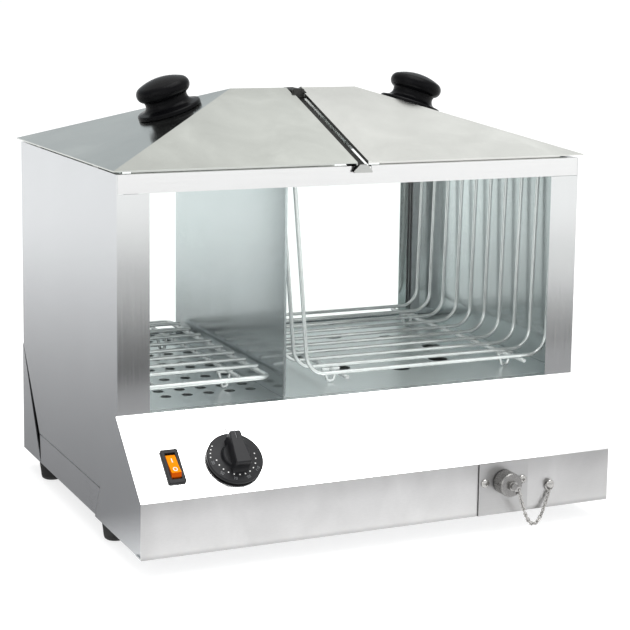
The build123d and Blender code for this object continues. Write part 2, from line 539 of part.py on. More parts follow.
def sag_curve(p0, p1, low_z, n=240):
    """Parabola in plan-straight line between the ends, lowest at low_z."""
    pts = []
    z0, z1 = p0.Z, p1.Z
    # parabola z = a(t-tm)^2 + low
    r = math.sqrt((z0 - low_z) / (z1 - low_z))
    tm = r / (1 + r)
    a = (z0 - low_z) / tm ** 2
    for k in range(n + 1):
        t = k / n
        pts.append(Vector(p0.X + (p1.X - p0.X) * t, p0.Y + (p1.Y - p0.Y) * t, low_z + a * (t - tm) ** 2))
    return pts


curve = sag_curve(ex0, ex1, 4.6)
seg = [0.0]
for a, b in zip(curve, curve[1:]):
    seg.append(seg[-1] + (b - a).length)
CH_LEN = seg[-1]
N_LINK = 2 * int(round((CH_LEN / 3.55 - 1) / 2)) + 1
PITCH = CH_LEN / N_LINK


def at(s):
    s = max(0.0, min(CH_LEN, s))
    for k in range(1, len(seg)):
        if seg[k] >= s:
            f = (s - seg[k - 1]) / (seg[k] - seg[k - 1])
            return curve[k - 1] + (curve[k] - curve[k - 1]) * f
    return curve[-1]


WR = 0.55                          # link wire radius


def link(length, width):
    """Oval link in its own xy plane, long along x, centred."""
    hl, hw = length / 2 - WR, width / 2 - WR
    st = hl - hw
    a = Line((-st, hw), (st, hw))
    b = ThreePointArc((st, hw), (st + hw, 0), (st, -hw))
    c = Line((st, -hw), (-st, -hw))
    d = ThreePointArc((-st, -hw), (-st - hw, 0), (-st, hw))
    w = Wire([a, b, c, d])
    prof = Plane(origin=w @ 0, z_dir=w % 0) * Circle(WR)
    return sweep(prof, path=w)


LINK = link(PITCH + 2 * WR + 1.3, 3.3)
links = []
for k in range(N_LINK):
    c0, c1 = at(k * PITCH), at((k + 1) * PITCH)
    m = (c0 + c1) * 0.5
    tx = (c1 - c0).normalized()
    side = tx.cross(Vector(0, 1, 0)).normalized() if k % 2 else Vector(0, 1, 0)
    nz = tx.cross(side).normalized()
    pl = Plane(origin=m, x_dir=tx, z_dir=nz)
    links.append(pl.location * LINK)
# end ring round the rivet's shank
links.append(Pos(RIV_X, Y_SKIRT - 1.85, RIV_Z - 2.15) * (Rot(90, 0, 0) * Torus(3.8, WR)))
add("drain_chain", *links)

# ---------------------------------------------------------------------------
# Roof: bridge, hinge, lids, knobs
# ---------------------------------------------------------------------------
BY0 = -4.0
hat_o = [(-9.0, -8.8), (-3.2, -4.0), (3.2, -4.0), (9.0, -8.8)]
hat_i = [(7.6, -8.8), (2.8, -5.0), (-2.8, -5.0), (-7.6, -8.8)]
end_o = [(-8.8, -8.8), (-8.8, -7.2), (-3.1, -1.6), (3.1, -1.6), (8.8, -7.2), (8.8, -8.8)]
zf = roof_z(BY0)
rise = roof_z(YC_LID) - zf
half = poly_solid([(x, BY0, zf + z) for x, z in hat_o + hat_i], (0, YC_LID - BY0, rise))
cap_f = poly_solid([(x, BY0, zf + z) for x, z in end_o], (0, 0.9, 0.9 * FRONT_RISE))
half = half + cap_f
rear_half = mirror(half, about=Plane(origin=(0, YC_LID, 0), z_dir=(0, 1, 0)))
bridge = half + rear_half
bridge = bridge - bx(-20, 20, YC_LID - 12.0, YC_LID + 12.0, 372.6, 400)
bridge = bridge - bx(-20, 20, YC_LID - 13.0, YC_LID + 13.0, 375.6, 400)
# flat saddle that carries the hinge
bridge = bridge + bx(-8.0, 8.0, YC_LID - 14.0, YC_LID + 14.0, 371.4, 372.6)
# feet under the headers
for s in (0, 1):
    ft = bx(-10.5, 10.5, 1.3, 8.0, 316.4, 317.6)
    ft = ft + bx(-8.8, 8.8, 1.3, 2.1, 316.4, 321.9)
    bridge = bridge + (ft if s == 0 else mirror(ft, about=Plane(origin=(0, YC_LID, 0), z_dir=(0, 1, 0))))
add("roof_bridge", bridge)

HY = 9.0                            # half length of a knuckle
tabs = []
br = bx(-6.5, 6.5, YC_LID - HY - 2.4, YC_LID + HY + 2.4, 372.65, 373.85)
for sg in (-1, 1):
    a = YC_LID + sg * (HY + 1.4) - 1.0
    stad = bx(-HINGE_X, HINGE_X, a, a + 2.0, HINGE_Z - 2.5, HINGE_Z + 2.5)
    stad = stad + cyl((-HINGE_X, a, HINGE_Z), (0, 1, 0), 2.5, 2.0) + cyl((HINGE_X, a, HINGE_Z), (0, 1, 0), 2.5, 2.0)
    stad = stad + bx(-6.4, 6.4, a, a + 2.0, 373.0, HINGE_Z)
    for hx in (-HINGE_X, HINGE_X):
        stad = stad - cyl((hx, a - 1, HINGE_Z), (0, 1, 0), 1.25, 4.0)
    br = br + stad
add("lid_hinge_bracket", br)
pins = []
for hx in (-HINGE_X, HINGE_X):
    pins.append(cyl((hx, YC_LID - HY - 3.0, HINGE_Z), (0, 1, 0), 1.24, 2 * HY + 6.0))
add("lid_hinge_pins", *pins)


def lid_side(sgn):
    """Right-hand lid; the left one is its mirror image."""
    y0, y1 = -LID_OY, D + LID_OY
    k = T / math.cos(math.atan(FRONT_RISE))
    ks = T / math.cos(math.atan(SIDE_RISE))
    far = RIDGE_Z + (RIDGE_X - LID_IN) * SIDE_RISE
    outer = prism_x([(y0, LID_Z - T), (y0, LID_Z), (YC_LID, RIDGE_Z), (y1, LID_Z), (y1, LID_Z - T)], LID_IN, LID_OX)
    outer = outer & prism_y([(LID_IN, LID_Z - 40), (LID_OX, LID_Z - 40), (LID_OX, LID_Z), (LID_IN, far)], y0 - 1, y1 + 1)
    e = 12.0
    inner = prism_x([(y0 - e, LID_Z - k - e * FRONT_RISE), (YC_LID, RIDGE_Z - k), (y1 + e, LID_Z - k - e * FRONT_RISE)], LID_IN - 5, LID_OX + 20)
    inner = inner & prism_y([(LID_IN - 5, LID_Z - 60), (LID_OX + e, LID_Z - 60), (LID_OX + e, LID_Z - ks - e * SIDE_RISE),
                             (LID_IN - 5, far + 5 * SIDE_RISE - ks)], y0 - e - 1, y1 + e + 1)
    lid = outer - inner
    full = outer
    # down flanges inside the rim, and the stiffening lip along the gable edge
    skirt = bx(22.0, 207.0, 8.2, 9.2, 317.4, 340) + bx(22.0, 207.0, D - 9.2, D - 8.2, 317.4, 340)
    skirt = skirt + bx(212.3, 213.3, 16.0, D - 16.0, 317.4, 340)
    solid_under = prism_x([(y0, LID_Z - 30), (y0, LID_Z - 0.5), (YC_LID, RIDGE_Z - 0.5), (y1, LID_Z - 0.5), (y1, LID_Z - 30)], LID_IN, LID_OX)
    solid_under = solid_under & prism_y([(LID_IN, LID_Z - 40), (LID_OX, LID_Z - 40), (LID_OX, LID_Z - 0.5), (LID_IN, far - 0.5)], y0 - 1, y1 + 1)
    skirt = skirt & solid_under
    lip_o = prism_x([(y0, LID_Z - 2.5), (y0, LID_Z - 0.3), (YC_LID, RIDGE_Z - 0.3), (y1, LID_Z - 0.3), (y1, LID_Z - 2.5), (YC_LID, RIDGE_Z - 2.5)], LID_IN, LID_IN + 0.9)
    hem = prism_x([(y0, LID_Z - 0.4), (y0, LID_Z + 0.8), (YC_LID, RIDGE_Z + 0.8), (y1, LID_Z + 0.8), (y1, LID_Z - 0.4), (YC_LID, RIDGE_Z - 0.4)], LID_IN, LID_IN + 3.4)
    lid = lid + skirt + lip_o
    if sgn > 0:
        lid = lid + hem
    # clear of the hinge
    lid = lid - bx(0, 7.4, YC_LID - 14.5, YC_LID + 14.5, 360, 400)
    kc = knob_frame()
    lid = lid - cyl(kc[0], (-kc[1][0], 0, -kc[1][2]), 2.6, 4) - cyl(kc[0], kc[1], 2.6, 4)
    return lid if sgn > 0 else mirror_x(lid)


def knob_frame():
    """Point on the top of the right lid's hip face under the knob, and its normal."""
    z = LID_Z + (LID_OX - KNOB_X) * SIDE_RISE
    n = math.hypot(SIDE_RISE, 1)
    return (KNOB_X, YC_LID, z), (SIDE_RISE / n, 0.0, 1 / n)


add("left_lid", lid_side(-1))
add("right_lid", lid_side(1))


def lid_hinge():
    k = T / math.cos(math.atan(FRONT_RISE))
    kn = cyl((HINGE_X, YC_LID - HY, HINGE_Z), (0, 1, 0), 2.4, 2 * HY)
    lug = prism_x([(YC_LID - HY, 375.7), (YC_LID + HY, 375.7), (YC_LID + HY, RIDGE_Z - k - HY * FRONT_RISE - 0.03),
                   (YC_LID, RIDGE_Z - k - 0.03), (YC_LID - HY, RIDGE_Z - k - HY * FRONT_RISE - 0.03)], HINGE_X + 1.0, 22.0)
    s = kn + lug
    return s - cyl((HINGE_X, YC_LID - HY - 5, HINGE_Z), (0, 1, 0), 1.3, 2 * HY + 10)


add("right_lid_hinge", lid_hinge())
add("left_lid_hinge", mirror_x(lid_hinge()))

bump = []
for sx in (-1, 1):
    for y in (60.0, D - 60.0):
        bump.append(bx(sx * 219.6 - 1.9, sx * 219.6 + 1.9, y - 7, y + 7, Z_TOP + 0.02, 324.75))
add("lid_bumpers", *bump)

kp, kn_ = knob_frame()
knob_foot = [(2.2, 0.0), (28.8, 0.0), (29.6, 0.7), (29.6, 3.4), (28.8, 4.3), (25.8, 4.9)]
KNOB_R, KNOB_H, KNOB_ZC = 25.2, 11.2, 21.3       # oblate head: radius, half height, centre
NECK_A = 70.0
RIM_R = 7.2
CROWN_R = ((KNOB_R - RIM_R) ** 2 + KNOB_H ** 2 - RIM_R ** 2) / (2 * (KNOB_H - RIM_R))                                     # the neck meets the head at this angle below its middle


def knob(side):
    """Mushroom knob: stepped foot, waisted neck, oblate head; one revolved profile."""
    pl = Plane(origin=Vector(kp[0] + kn_[0] * 0.05, kp[1], kp[2] + kn_[2] * 0.05), z_dir=Vector(*kn_))
    a0, a1 = math.radians(-NECK_A), math.atan2(CROWN_R - KNOB_H, KNOB_R - RIM_R)
    am = (a1 + math.pi / 2) / 2
    rim = [(KNOB_R - RIM_R + RIM_R * math.cos(a), KNOB_ZC + RIM_R * math.sin(a)) for a in (a0, 0.0, a1)]
    crown = [(CROWN_R * math.cos(a), KNOB_ZC + KNOB_H - CROWN_R + CROWN_R * math.sin(a)) for a in (am, math.pi / 2)]
    with BuildLine(Plane.XZ) as outline:
        Polyline(*knob_foot)
        ThreePointArc(knob_foot[-1], (20.0, 9.6), rim[0])
        ThreePointArc(*rim)
        ThreePointArc(rim[2], crown[0], (0.0, KNOB_ZC + KNOB_H))
        Polyline((0.0, KNOB_ZC + KNOB_H), (0.0, 16.0), (2.2, 16.0), knob_foot[0])
    s = revolve(make_face(outline.line.edges()), Axis.Z, 360)
    s = pl.location * s
    return s if side > 0 else mirror_x(s)


add("right_lid_knob", knob(1))
add("left_lid_knob", knob(-1))


def knob_screw(side):
    pl = Plane(origin=Vector(*kp), z_dir=Vector(*kn_))
    k0 = -T - 0.1
    s = profile_solid([(0.0, k0 - 4.0), (3.0, k0 - 3.6), (4.2, k0 - 2.2), (4.2, k0 - 1.1), (7.4, k0 - 1.1), (7.4, k0 - 0.02),
                       (2.15, k0 - 0.02), (2.15, 15.0), (0.0, 15.0)], pl)
    return s if side > 0 else mirror_x(s)


add("right_knob_screw", knob_screw(1))
add("left_knob_screw", knob_screw(-1))

# ---------------------------------------------------------------------------
# Wire goods
# ---------------------------------------------------------------------------
WR_B = 1.8
BL, BR_ = -40.5, 204.5
TL, TR = -55.5, 208.8
W_TOP = BASK_TOP - 2.5 - 0.2        # wire ends stop under the rim rod
fl = (W_TOP - BASK_Z) / (BASK_TOP - BASK_Z)
wires = []
for k in range(WIRE_N):
    y = WIRE_Y0 + WIRE_DY * k
    wires.append(tube([(BL + (TL - BL) * fl, y, W_TOP), (BL, y, BASK_Z), (BR_, y, BASK_Z), (BR_ + (TR - BR_) * fl, y, W_TOP)], WR_B, 19.0))
add("sausage_basket_wires", *wires)
yA, yB = WIRE_Y0, WIRE_Y0 + WIRE_DY * (WIRE_N - 1)
RAILS = (-5.0, 178.0)
RAIL_Z = BASK_Z - 2 * WR_B - 0.02
rails = []
for rx in RAILS:
    rail = tube([(rx, yA - 7.0, RAIL_Z), (rx, yB + 6.0, RAIL_Z)], 1.8, 0)
    for ly in (yA + WIRE_DY, yB - WIRE_DY):
        leg = tube([(rx - 6.6, ly, RAIL_Z + 0.1), (rx - 2.8, ly, Z_SILL + 1.75), (rx + 2.8, ly, Z_SILL + 1.75), (rx + 6.6, ly, RAIL_Z + 0.1)], 1.5, 2.4)
        rail = rail + tube([(rx - 8.6, ly, RAIL_Z + 0.15), (rx + 8.6, ly, RAIL_Z + 0.15)], 1.5, 0) + leg
    rails.append(rail)
# top rim: heavier rod over all the wire ends
yr0, yr1 = yA - 3.6, yB + 3.6
rim_pts = [(TL, yr0 + 60, BASK_TOP), (TL, yr0, BASK_TOP), (TR, yr0, BASK_TOP), (TR, yr1, BASK_TOP), (TL, yr1, BASK_TOP), (TL, yr0 + 60, BASK_TOP)]
rimw = tube(rim_pts[:-1], 2.5, 7.0)
rimc = tube([(TL, yr0 + 59.9, BASK_TOP), (TL, yr1 - 8.0, BASK_TOP)], 2.5, 0)
add("sausage_basket_frame", rimw + rimc, *rails)

RK_Z = 137.0
RX0, RX1 = -210.0, -76.5
RY0, RY1 = 20.0, 20.0 + 28.7 * 9
ring_a = tube([(RX0, RY0 + 40, RK_Z), (RX0, RY0, RK_Z), (RX1, RY0, RK_Z), (RX1, RY1, RK_Z), (RX0, RY1, RK_Z), (RX0, RY0 + 60, RK_Z)], 2.3, 9.0)
ring_b = tube([(RX0, RY0 + 39.9, RK_Z), (RX0, RY0 + 60.1, RK_Z)], 2.3, 0)
rack = [ring_a + ring_b]
for k in range(1, 9):
    y = RY0 + 28.7 * k
    rack.append(tube([(RX0 - 0.6, y, RK_Z + 4.02), (RX1 + 0.6, y, RK_Z + 4.02)], 1.7, 0))
for rx in (-103.0, -183.0):
    rail = tube([(rx, RY0 + 6.0, RK_Z + 0.70), (rx, RY1 - 6.0, RK_Z + 0.70)], 1.6, 0)
    for ly in (60.0, 226.0):
        leg = tube([(rx - 5.4, ly, RK_Z - 2.2), (rx - 2.0, ly, Z_SILL + 1.8), (rx + 2.0, ly, Z_SILL + 1.8), (rx + 5.4, ly, RK_Z - 2.2)], 1.4, 1.8)
        rail = rail + tube([(rx - 7.4, ly, RK_Z - 1.8), (rx + 7.4, ly, RK_Z - 1.8)], 1.4, 0) + leg
    rack.append(rail)
add("bun_rack", *rack)

# ---------------------------------------------------------------------------
# Electrical parts behind and under the tank
# ---------------------------------------------------------------------------
tpl = rear_plane(-120, 30, 0.1)
tb = Pos(0, 0, 6.5) * Box(48, 18, 13)
for k in range(3):
    tb = tb - Pos(-15 + 15 * k, 4.5, 13) * Cylinder(2.6, 8) - Pos(-15 + 15 * k, -4.5, 13) * Cylinder(2.6, 8)
tb = tb - Pos(-18, 0, 5) * Cylinder(1.7, 30) - Pos(18, 0, 5) * Cylinder(1.7, 30)
add("terminal_block", tpl.location * tb)
hpl = rear_plane(60, 34, 0.1)
hl = Pos(0, 0, 0.75) * Box(32, 16, 1.3)
hl = hl + Pos(0, 0, 4.0) * Cylinder(8.6, 7.8)
hl = hl - Pos(0, 0, 6.0) * Cylinder(2.1, 12)
hl = hl + Pos(0, 0, -3.0) * Cylinder(7.2, 6.4)
add("high_limit_cutout", hpl.location * hl)
# reset plunger with its dark cap, reached through the rear cover
rb = Pos(0, 0, 6.4) * Cylinder(2.0, 8.4) + Pos(0, 0, 12.0) * Cylinder(3.0, 3.0)
add("reset_button", hpl.location * rb)

wh = []
wh.append(tube([(-95.8, 261.5, 62.3), (-64, 261.5, 62.3), (-64, 258, 31), (-64, -20, 27), (-190, -20, 27), (-190, -20, 58)], 1.5, 5.0))
wh.append(tube([(-95.8, 266.0, 68.0), (-60, 266.0, 68.0), (-60, 262, 35), (-60, -21, 31.4), (-138, -21, 31.4), (-138, -21, 66)], 1.5, 5.0))
wh.append(tube([(-36, -28.6, 53), (-36, -34, 53), (-36, -34, 27), (-56, -34, 27), (-56, 266, 29), (60, 268, 29), (60, 268, 55)], 1.5, 5.0))
wh.append(tube([(6, -28.6, 53), (6, -38, 53), (6, -38, 36), (-128, -38, 36), (-128, -38, 50)], 1.5, 5.0))
add("wiring", *wh)
add("control_panel_screws", *[pan_head((sx, -56.5, Z_LIP - 0.02), (0, 0, -1), 3.2, 1.9, 1.5, 4.0) for sx in (-205, 205)])

# ---------------------------------------------------------------------------
# Export, centred on the bounding box
# ---------------------------------------------------------------------------
lo, hi = [1e9] * 3, [-1e9] * 3
for name, shapes in PARTS.items():
    for s in shapes:
        b = s.bounding_box()
        for i, (a, c) in enumerate(((b.min.X, b.max.X), (b.min.Y, b.max.Y), (b.min.Z, b.max.Z))):
            lo[i] = min(lo[i], a)
            hi[i] = max(hi[i], c)
print("box before centring", [round(v, 3) for v in lo], [round(v, 3) for v in hi])
Y_MID = round((lo[1] + hi[1]) / 2, 2)
print("Y_MID", Y_MID, "size", [round(h - l, 2) for l, h in zip(lo, hi)], "chain", round(CH_LEN, 1), N_LINK, round(PITCH, 3))

os.makedirs("parts", exist_ok=True)
for f in os.listdir("parts"):
    if f.endswith(".step") and f[:-5] not in PARTS:
        os.remove(os.path.join("parts", f))
for name, shapes in PARTS.items():
    solids = []
    for s in shapes:
        solids.extend(s.solids())
    moved = [s.moved(Location((0, -Y_MID, Z_FOOT))) for s in solids]
    out = moved[0] if len(moved) == 1 else Compound(children=moved)
    out.label = name
    export_step(out, os.path.join("parts", name + ".step"))
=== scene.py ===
import math

import bpy
from mathutils import Matrix, Vector


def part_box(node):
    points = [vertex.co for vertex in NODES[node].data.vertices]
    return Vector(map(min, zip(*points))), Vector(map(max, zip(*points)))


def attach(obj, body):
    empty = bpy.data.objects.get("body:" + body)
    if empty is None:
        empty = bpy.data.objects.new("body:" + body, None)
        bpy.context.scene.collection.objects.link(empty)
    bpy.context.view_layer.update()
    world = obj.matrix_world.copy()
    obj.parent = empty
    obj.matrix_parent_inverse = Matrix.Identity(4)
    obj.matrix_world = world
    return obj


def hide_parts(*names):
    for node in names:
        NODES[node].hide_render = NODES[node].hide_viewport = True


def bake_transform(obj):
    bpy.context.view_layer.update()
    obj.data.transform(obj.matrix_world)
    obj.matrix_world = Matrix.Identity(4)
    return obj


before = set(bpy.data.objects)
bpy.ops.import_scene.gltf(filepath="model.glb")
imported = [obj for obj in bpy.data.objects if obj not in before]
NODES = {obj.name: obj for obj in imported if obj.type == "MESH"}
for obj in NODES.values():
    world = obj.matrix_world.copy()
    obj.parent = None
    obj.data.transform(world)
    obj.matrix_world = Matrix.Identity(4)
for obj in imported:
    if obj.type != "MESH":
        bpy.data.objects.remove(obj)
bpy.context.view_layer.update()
Y_MID = 110.55            # mm, the body's own y = 0 is the front posts' plane
LIFT = round(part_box("left_lid")[1][2] * 1000.0 - 381.0, 2)   # mm, the feet reach this far below z = 0

# ---------------------------------------------------------------------------
# small helpers
# ---------------------------------------------------------------------------


def mm(x, y, z):
    """Machine coordinates in mm (y = 0 at the front posts) to the row frame in metres."""
    return Vector((x / 1000.0, (y - Y_MID) / 1000.0, (z + LIFT) / 1000.0))


def mesh_object(name, verts, faces, smooth=False):
    me = bpy.data.meshes.new(name)
    me.from_pydata([tuple(v) for v in verts], [], faces)
    me.validate()
    me.update()
    if smooth:
        for p in me.polygons:
            p.use_smooth = True
    ob = bpy.data.objects.new(name, me)
    bpy.context.scene.collection.objects.link(ob)
    return ob


class Nodes:
    """Thin wrapper that builds a node tree line by line."""

    def __init__(self, mat):
        self.mat = mat
        mat.use_nodes = True
        self.t = mat.node_tree
        self.t.nodes.clear()

    def n(self, kind, **props):
        nd = self.t.nodes.new(kind)
        for k, v in props.items():
            if k.startswith("_"):
                setattr(nd, k[1:], v)
            else:
                nd.inputs[k.replace("__", " ")].default_value = v
        return nd

    def l(self, a, b):
        self.t.links.new(a, b)


def ramp(nt, src, stops):
    r = nt.n("ShaderNodeValToRGB")
    el = r.color_ramp.elements
    while len(el) > 1:
        el.remove(el[-1])
    el[0].position, el[0].color = stops[0][0], (*stops[0][1], 1)
    for p, c in stops[1:]:
        e = el.new(p)
        e.color = (*c, 1)
    nt.l(src, r.inputs["Fac"])
    return r.outputs["Color"]


def to_range(nt, src, a, b, lo=0.3, hi=0.7):
    m = nt.n("ShaderNodeMapRange")
    m.inputs["From Min"].default_value = lo
    m.inputs["From Max"].default_value = hi
    m.inputs["To Min"].default_value = a
    m.inputs["To Max"].default_value = b
    nt.l(src, m.inputs["Value"])
    return m.outputs["Result"]


def noise(nt, coord, scale, detail=3.0, rough=0.5, dist=0.0):
    x = nt.n("ShaderNodeTexNoise")
    x.inputs["Scale"].default_value = scale
    x.inputs["Detail"].default_value = detail
    x.inputs["Roughness"].default_value = rough
    x.inputs["Distortion"].default_value = dist
    nt.l(coord, x.inputs["Vector"])
    return x.outputs["Fac"]


def stretched(nt, scale):
    tc = nt.n("ShaderNodeTexCoord")
    mp = nt.n("ShaderNodeMapping")
    mp.inputs["Scale"].default_value = scale
    nt.l(tc.outputs["Object"], mp.inputs["Vector"])
    return mp.outputs["Vector"]


def steel(name, color, rough, grain=(1, 1, 1), grain_amt=0.04, wave=0.0, wave_scale=6.0, shade=0.06, aniso=0.0,
          bump=0.015, spread=0.05, painted_shade_fades=(), blotch=9.0, metallic=1.0):
    """Stainless sheet: grain stretched along one axis, slow waviness, faint wiping marks, and painted shade that
    darkens it along the axes given.
    """
    m = bpy.data.materials.new(name)
    nt = Nodes(m)
    out = nt.n("ShaderNodeOutputMaterial")
    bs = nt.n("ShaderNodeBsdfPrincipled")
    bs.inputs["Metallic"].default_value = metallic
    bs.inputs["Anisotropic"].default_value = aniso
    vec = stretched(nt, grain)
    fine = noise(nt, vec, 900.0, 4.0, 0.6)
    tc = nt.n("ShaderNodeTexCoord")
    slow = noise(nt, tc.outputs["Object"], wave_scale, 2.0, 0.45, 0.3)
    smear = noise(nt, stretched(nt, (1.0, 1.0, 0.6)), blotch, 3.0, 0.5, 0.5)
    c = ramp(nt, smear, [(0.25, tuple(v * (1 - shade) for v in color)), (0.6, color), (0.85, tuple(min(1, v * (1 + shade)) for v in color))])
    mix = nt.n("ShaderNodeMix", _data_type="RGBA", _blend_type="MULTIPLY")
    mix.inputs["Factor"].default_value = 1.0
    fc = ramp(nt, fine, [(0.3, (1 - grain_amt,) * 3), (0.7, (1.0, 1.0, 1.0))])
    nt.l(c, mix.inputs["A"])
    nt.l(fc, mix.inputs["B"])
    tone = mix.outputs["Result"]
    for axis, lo, hi, v0, v1 in painted_shade_fades:
        # painted shade: the sheet's colour is darkened along one axis, standing in for the fall-off of light and
        # reflection on it
        part = nt.n("ShaderNodeSeparateXYZ")
        nt.l(tc.outputs["Object"], part.inputs["Vector"])
        span = nt.n("ShaderNodeMapRange", _interpolation_type="SMOOTHSTEP")
        span.inputs["From Min"].default_value = lo
        span.inputs["From Max"].default_value = hi
        nt.l(part.outputs[axis], span.inputs["Value"])
        fade = nt.n("ShaderNodeMix", _data_type="RGBA", _blend_type="MULTIPLY")
        fade.inputs["Factor"].default_value = 1.0
        nt.l(tone, fade.inputs["A"])
        nt.l(ramp(nt, span.outputs["Result"], [(0.0, (v0,) * 3), (1.0, (v1,) * 3)]), fade.inputs["B"])
        tone = fade.outputs["Result"]
    nt.l(tone, bs.inputs["Base Color"])
    add = nt.n("ShaderNodeMath", _operation="ADD")
    nt.l(to_range(nt, fine, rough - spread, rough + spread), add.inputs[0])
    nt.l(to_range(nt, smear, -spread * 0.6, spread * 0.8, 0.35, 0.75), add.inputs[1])
    nt.l(add.outputs["Value"], bs.inputs["Roughness"])
    b1 = nt.n("ShaderNodeBump")
    b1.inputs["Strength"].default_value = bump
    b1.inputs["Distance"].default_value = 0.0004
    nt.l(fine, b1.inputs["Height"])
    if wave > 0:
        b2 = nt.n("ShaderNodeBump")
        b2.inputs["Strength"].default_value = wave
        b2.inputs["Distance"].default_value = 0.004
        nt.l(slow, b2.inputs["Height"])
        nt.l(b1.outputs["Normal"], b2.inputs["Normal"])
        nt.l(b2.outputs["Normal"], bs.inputs["Normal"])
    else:
        nt.l(b1.outputs["Normal"], bs.inputs["Normal"])
    nt.l(bs.outputs["BSDF"], out.inputs["Surface"])
    return m


def metal(name, color, rough, var=0.06, scale=120.0, bump=0.04, metallic=1.0):
    """Plated or turned metal with small tarnish and handling marks."""
    m = bpy.data.materials.new(name)
    nt = Nodes(m)
    out = nt.n("ShaderNodeOutputMaterial")
    bs = nt.n("ShaderNodeBsdfPrincipled")
    bs.inputs["Metallic"].default_value = metallic
    tc = nt.n("ShaderNodeTexCoord")
    a = noise(nt, tc.outputs["Object"], scale, 4.0, 0.6)
    b = noise(nt, tc.outputs["Object"], scale * 6, 3.0, 0.6)
    nt.l(ramp(nt, a, [(0.3, tuple(v * 0.86 for v in color)), (0.6, color)]), bs.inputs["Base Color"])
    nt.l(to_range(nt, b, rough - var * 0.5, rough + var), bs.inputs["Roughness"])
    bp = nt.n("ShaderNodeBump")
    bp.inputs["Strength"].default_value = bump
    bp.inputs["Distance"].default_value = 0.0003
    nt.l(b, bp.inputs["Height"])
    nt.l(bp.outputs["Normal"], bs.inputs["Normal"])
    nt.l(bs.outputs["BSDF"], out.inputs["Surface"])
    return m


def plastic(name, color, rough, spec=0.5, grain=700.0, bump=0.05, dust=0.03, coat=0.0, trans=0.0, sss=0.0):
    """Moulded plastic, resin or rubber with a fine texture and faint dust."""
    m = bpy.data.materials.new(name)
    nt = Nodes(m)
    out = nt.n("ShaderNodeOutputMaterial")
    bs = nt.n("ShaderNodeBsdfPrincipled")
    bs.inputs["Specular IOR Level"].default_value = spec
    bs.inputs["Coat Weight"].default_value = coat
    bs.inputs["Transmission Weight"].default_value = trans
    if sss:
        bs.inputs["Subsurface Weight"].default_value = sss
        bs.inputs["Subsurface Radius"].default_value = (0.004, 0.0015, 0.0006)
        bs.inputs["Subsurface Scale"].default_value = 1.0
    tc = nt.n("ShaderNodeTexCoord")
    a = noise(nt, tc.outputs["Object"], 60.0, 5.0, 0.65)
    b = noise(nt, tc.outputs["Object"], grain, 3.0, 0.6)
    lit = tuple(min(1.0, v + dust) for v in color)
    nt.l(ramp(nt, a, [(0.45, color), (0.8, lit)]), bs.inputs["Base Color"])
    nt.l(to_range(nt, a, rough - 0.04, rough + 0.08), bs.inputs["Roughness"])
    bp = nt.n("ShaderNodeBump")
    bp.inputs["Strength"].default_value = bump
    bp.inputs["Distance"].default_value = 0.0002
    nt.l(b, bp.inputs["Height"])
    nt.l(bp.outputs["Normal"], bs.inputs["Normal"])
    nt.l(bs.outputs["BSDF"], out.inputs["Surface"])
    return m


def glass(name):
    """Clear sheet glass that lets light straight through, with a faint reflection and a green edge."""
    m = bpy.data.materials.new(name)
    nt = Nodes(m)
    out = nt.n("ShaderNodeOutputMaterial")
    tr = nt.n("ShaderNodeBsdfTransparent")
    gl = nt.n("ShaderNodeBsdfGlossy")
    gl.inputs["Roughness"].default_value = 0.02
    tc = nt.n("ShaderNodeTexCoord")
    a = noise(nt, tc.outputs["Object"], 14.0, 4.0, 0.6)
    nt.l(ramp(nt, a, [(0.3, (0.965, 0.985, 0.978)), (0.7, (0.985, 0.995, 0.99))]), tr.inputs["Color"])
    # the sheet's two faces reflect alike at every angle, and more at a glance
    lw = nt.n("ShaderNodeLayerWeight")
    lw.inputs["Blend"].default_value = 0.5
    pw = nt.n("ShaderNodeMath", _operation="POWER")
    pw.inputs[1].default_value = 4.0
    nt.l(lw.outputs["Facing"], pw.inputs[0])
    mx = nt.n("ShaderNodeMixShader")
    nt.l(to_range(nt, pw.outputs["Value"], 0.018, 0.42, 0.0, 1.0), mx.inputs["Fac"])
    nt.l(tr.outputs["BSDF"], mx.inputs[1])
    nt.l(gl.outputs["BSDF"], mx.inputs[2])
    nt.l(mx.outputs["Shader"], out.inputs["Surface"])
    return m


# ---------------------------------------------------------------------------
# materials
# ---------------------------------------------------------------------------
SHEET = (0.66, 0.665, 0.665)
side_m = steel("stainless_side", (0.60, 0.615, 0.63), 0.25, (1, 1, 0.05), 0.03, 0.002, 4.0, 0.03, 0.0, 0.002, 0.01)
# painted light: the header and panel get a much lighter copy of the sides' steel
front_m = steel("stainless_front", (0.82, 0.822, 0.82), 0.22, (0.02, 1, 1), 0.03, 0.02, 5.0, 0.03, 0.2, 0.004, 0.03)
# painted shade: the drain plate is darker than the skirt, standing in for the shade at the skirt's right end
drain_m = steel("stainless_drain_plate", (0.49, 0.488, 0.485), 0.36, (0.02, 1, 1), 0.06, 0.02, 5.0, 0.07, 0.2, 0.01, 0.05)
# painted shade: the skirt is darker than the panel above it and darkens towards its top and bottom edges and both ends
skirt_m = steel("stainless_skirt", (0.685, 0.682, 0.677), 0.36, (0.25, 1, 1), 0.05, 0.02, 5.0, 0.11, 0.2, 0.01, 0.05,
                [("Z", 0.042, 0.065, 1.0, 0.84), ("Z", 0.0165, 0.0215, 0.72, 1.0), ("X", 0.04, 0.22, 1.0, 0.80),
                 ("X", -0.224, -0.205, 0.88, 1.0)], 26.0)
# painted light and shade: the posts, the side panels' front faces, are much lighter than the sides, darker above 0.25 m
# and far darker near their foot, standing in for reflected light
post_m = steel("stainless_post", (0.885, 0.90, 0.90), 0.14, (1, 1, 0.02), 0.012, 0.012, 5.0, 0.03, 0.2, 0.001, 0.015,
               [("Z", 0.20, 0.25, 1.0, 0.80), ("Z", 0.122, 0.150, 0.64, 1.0)])
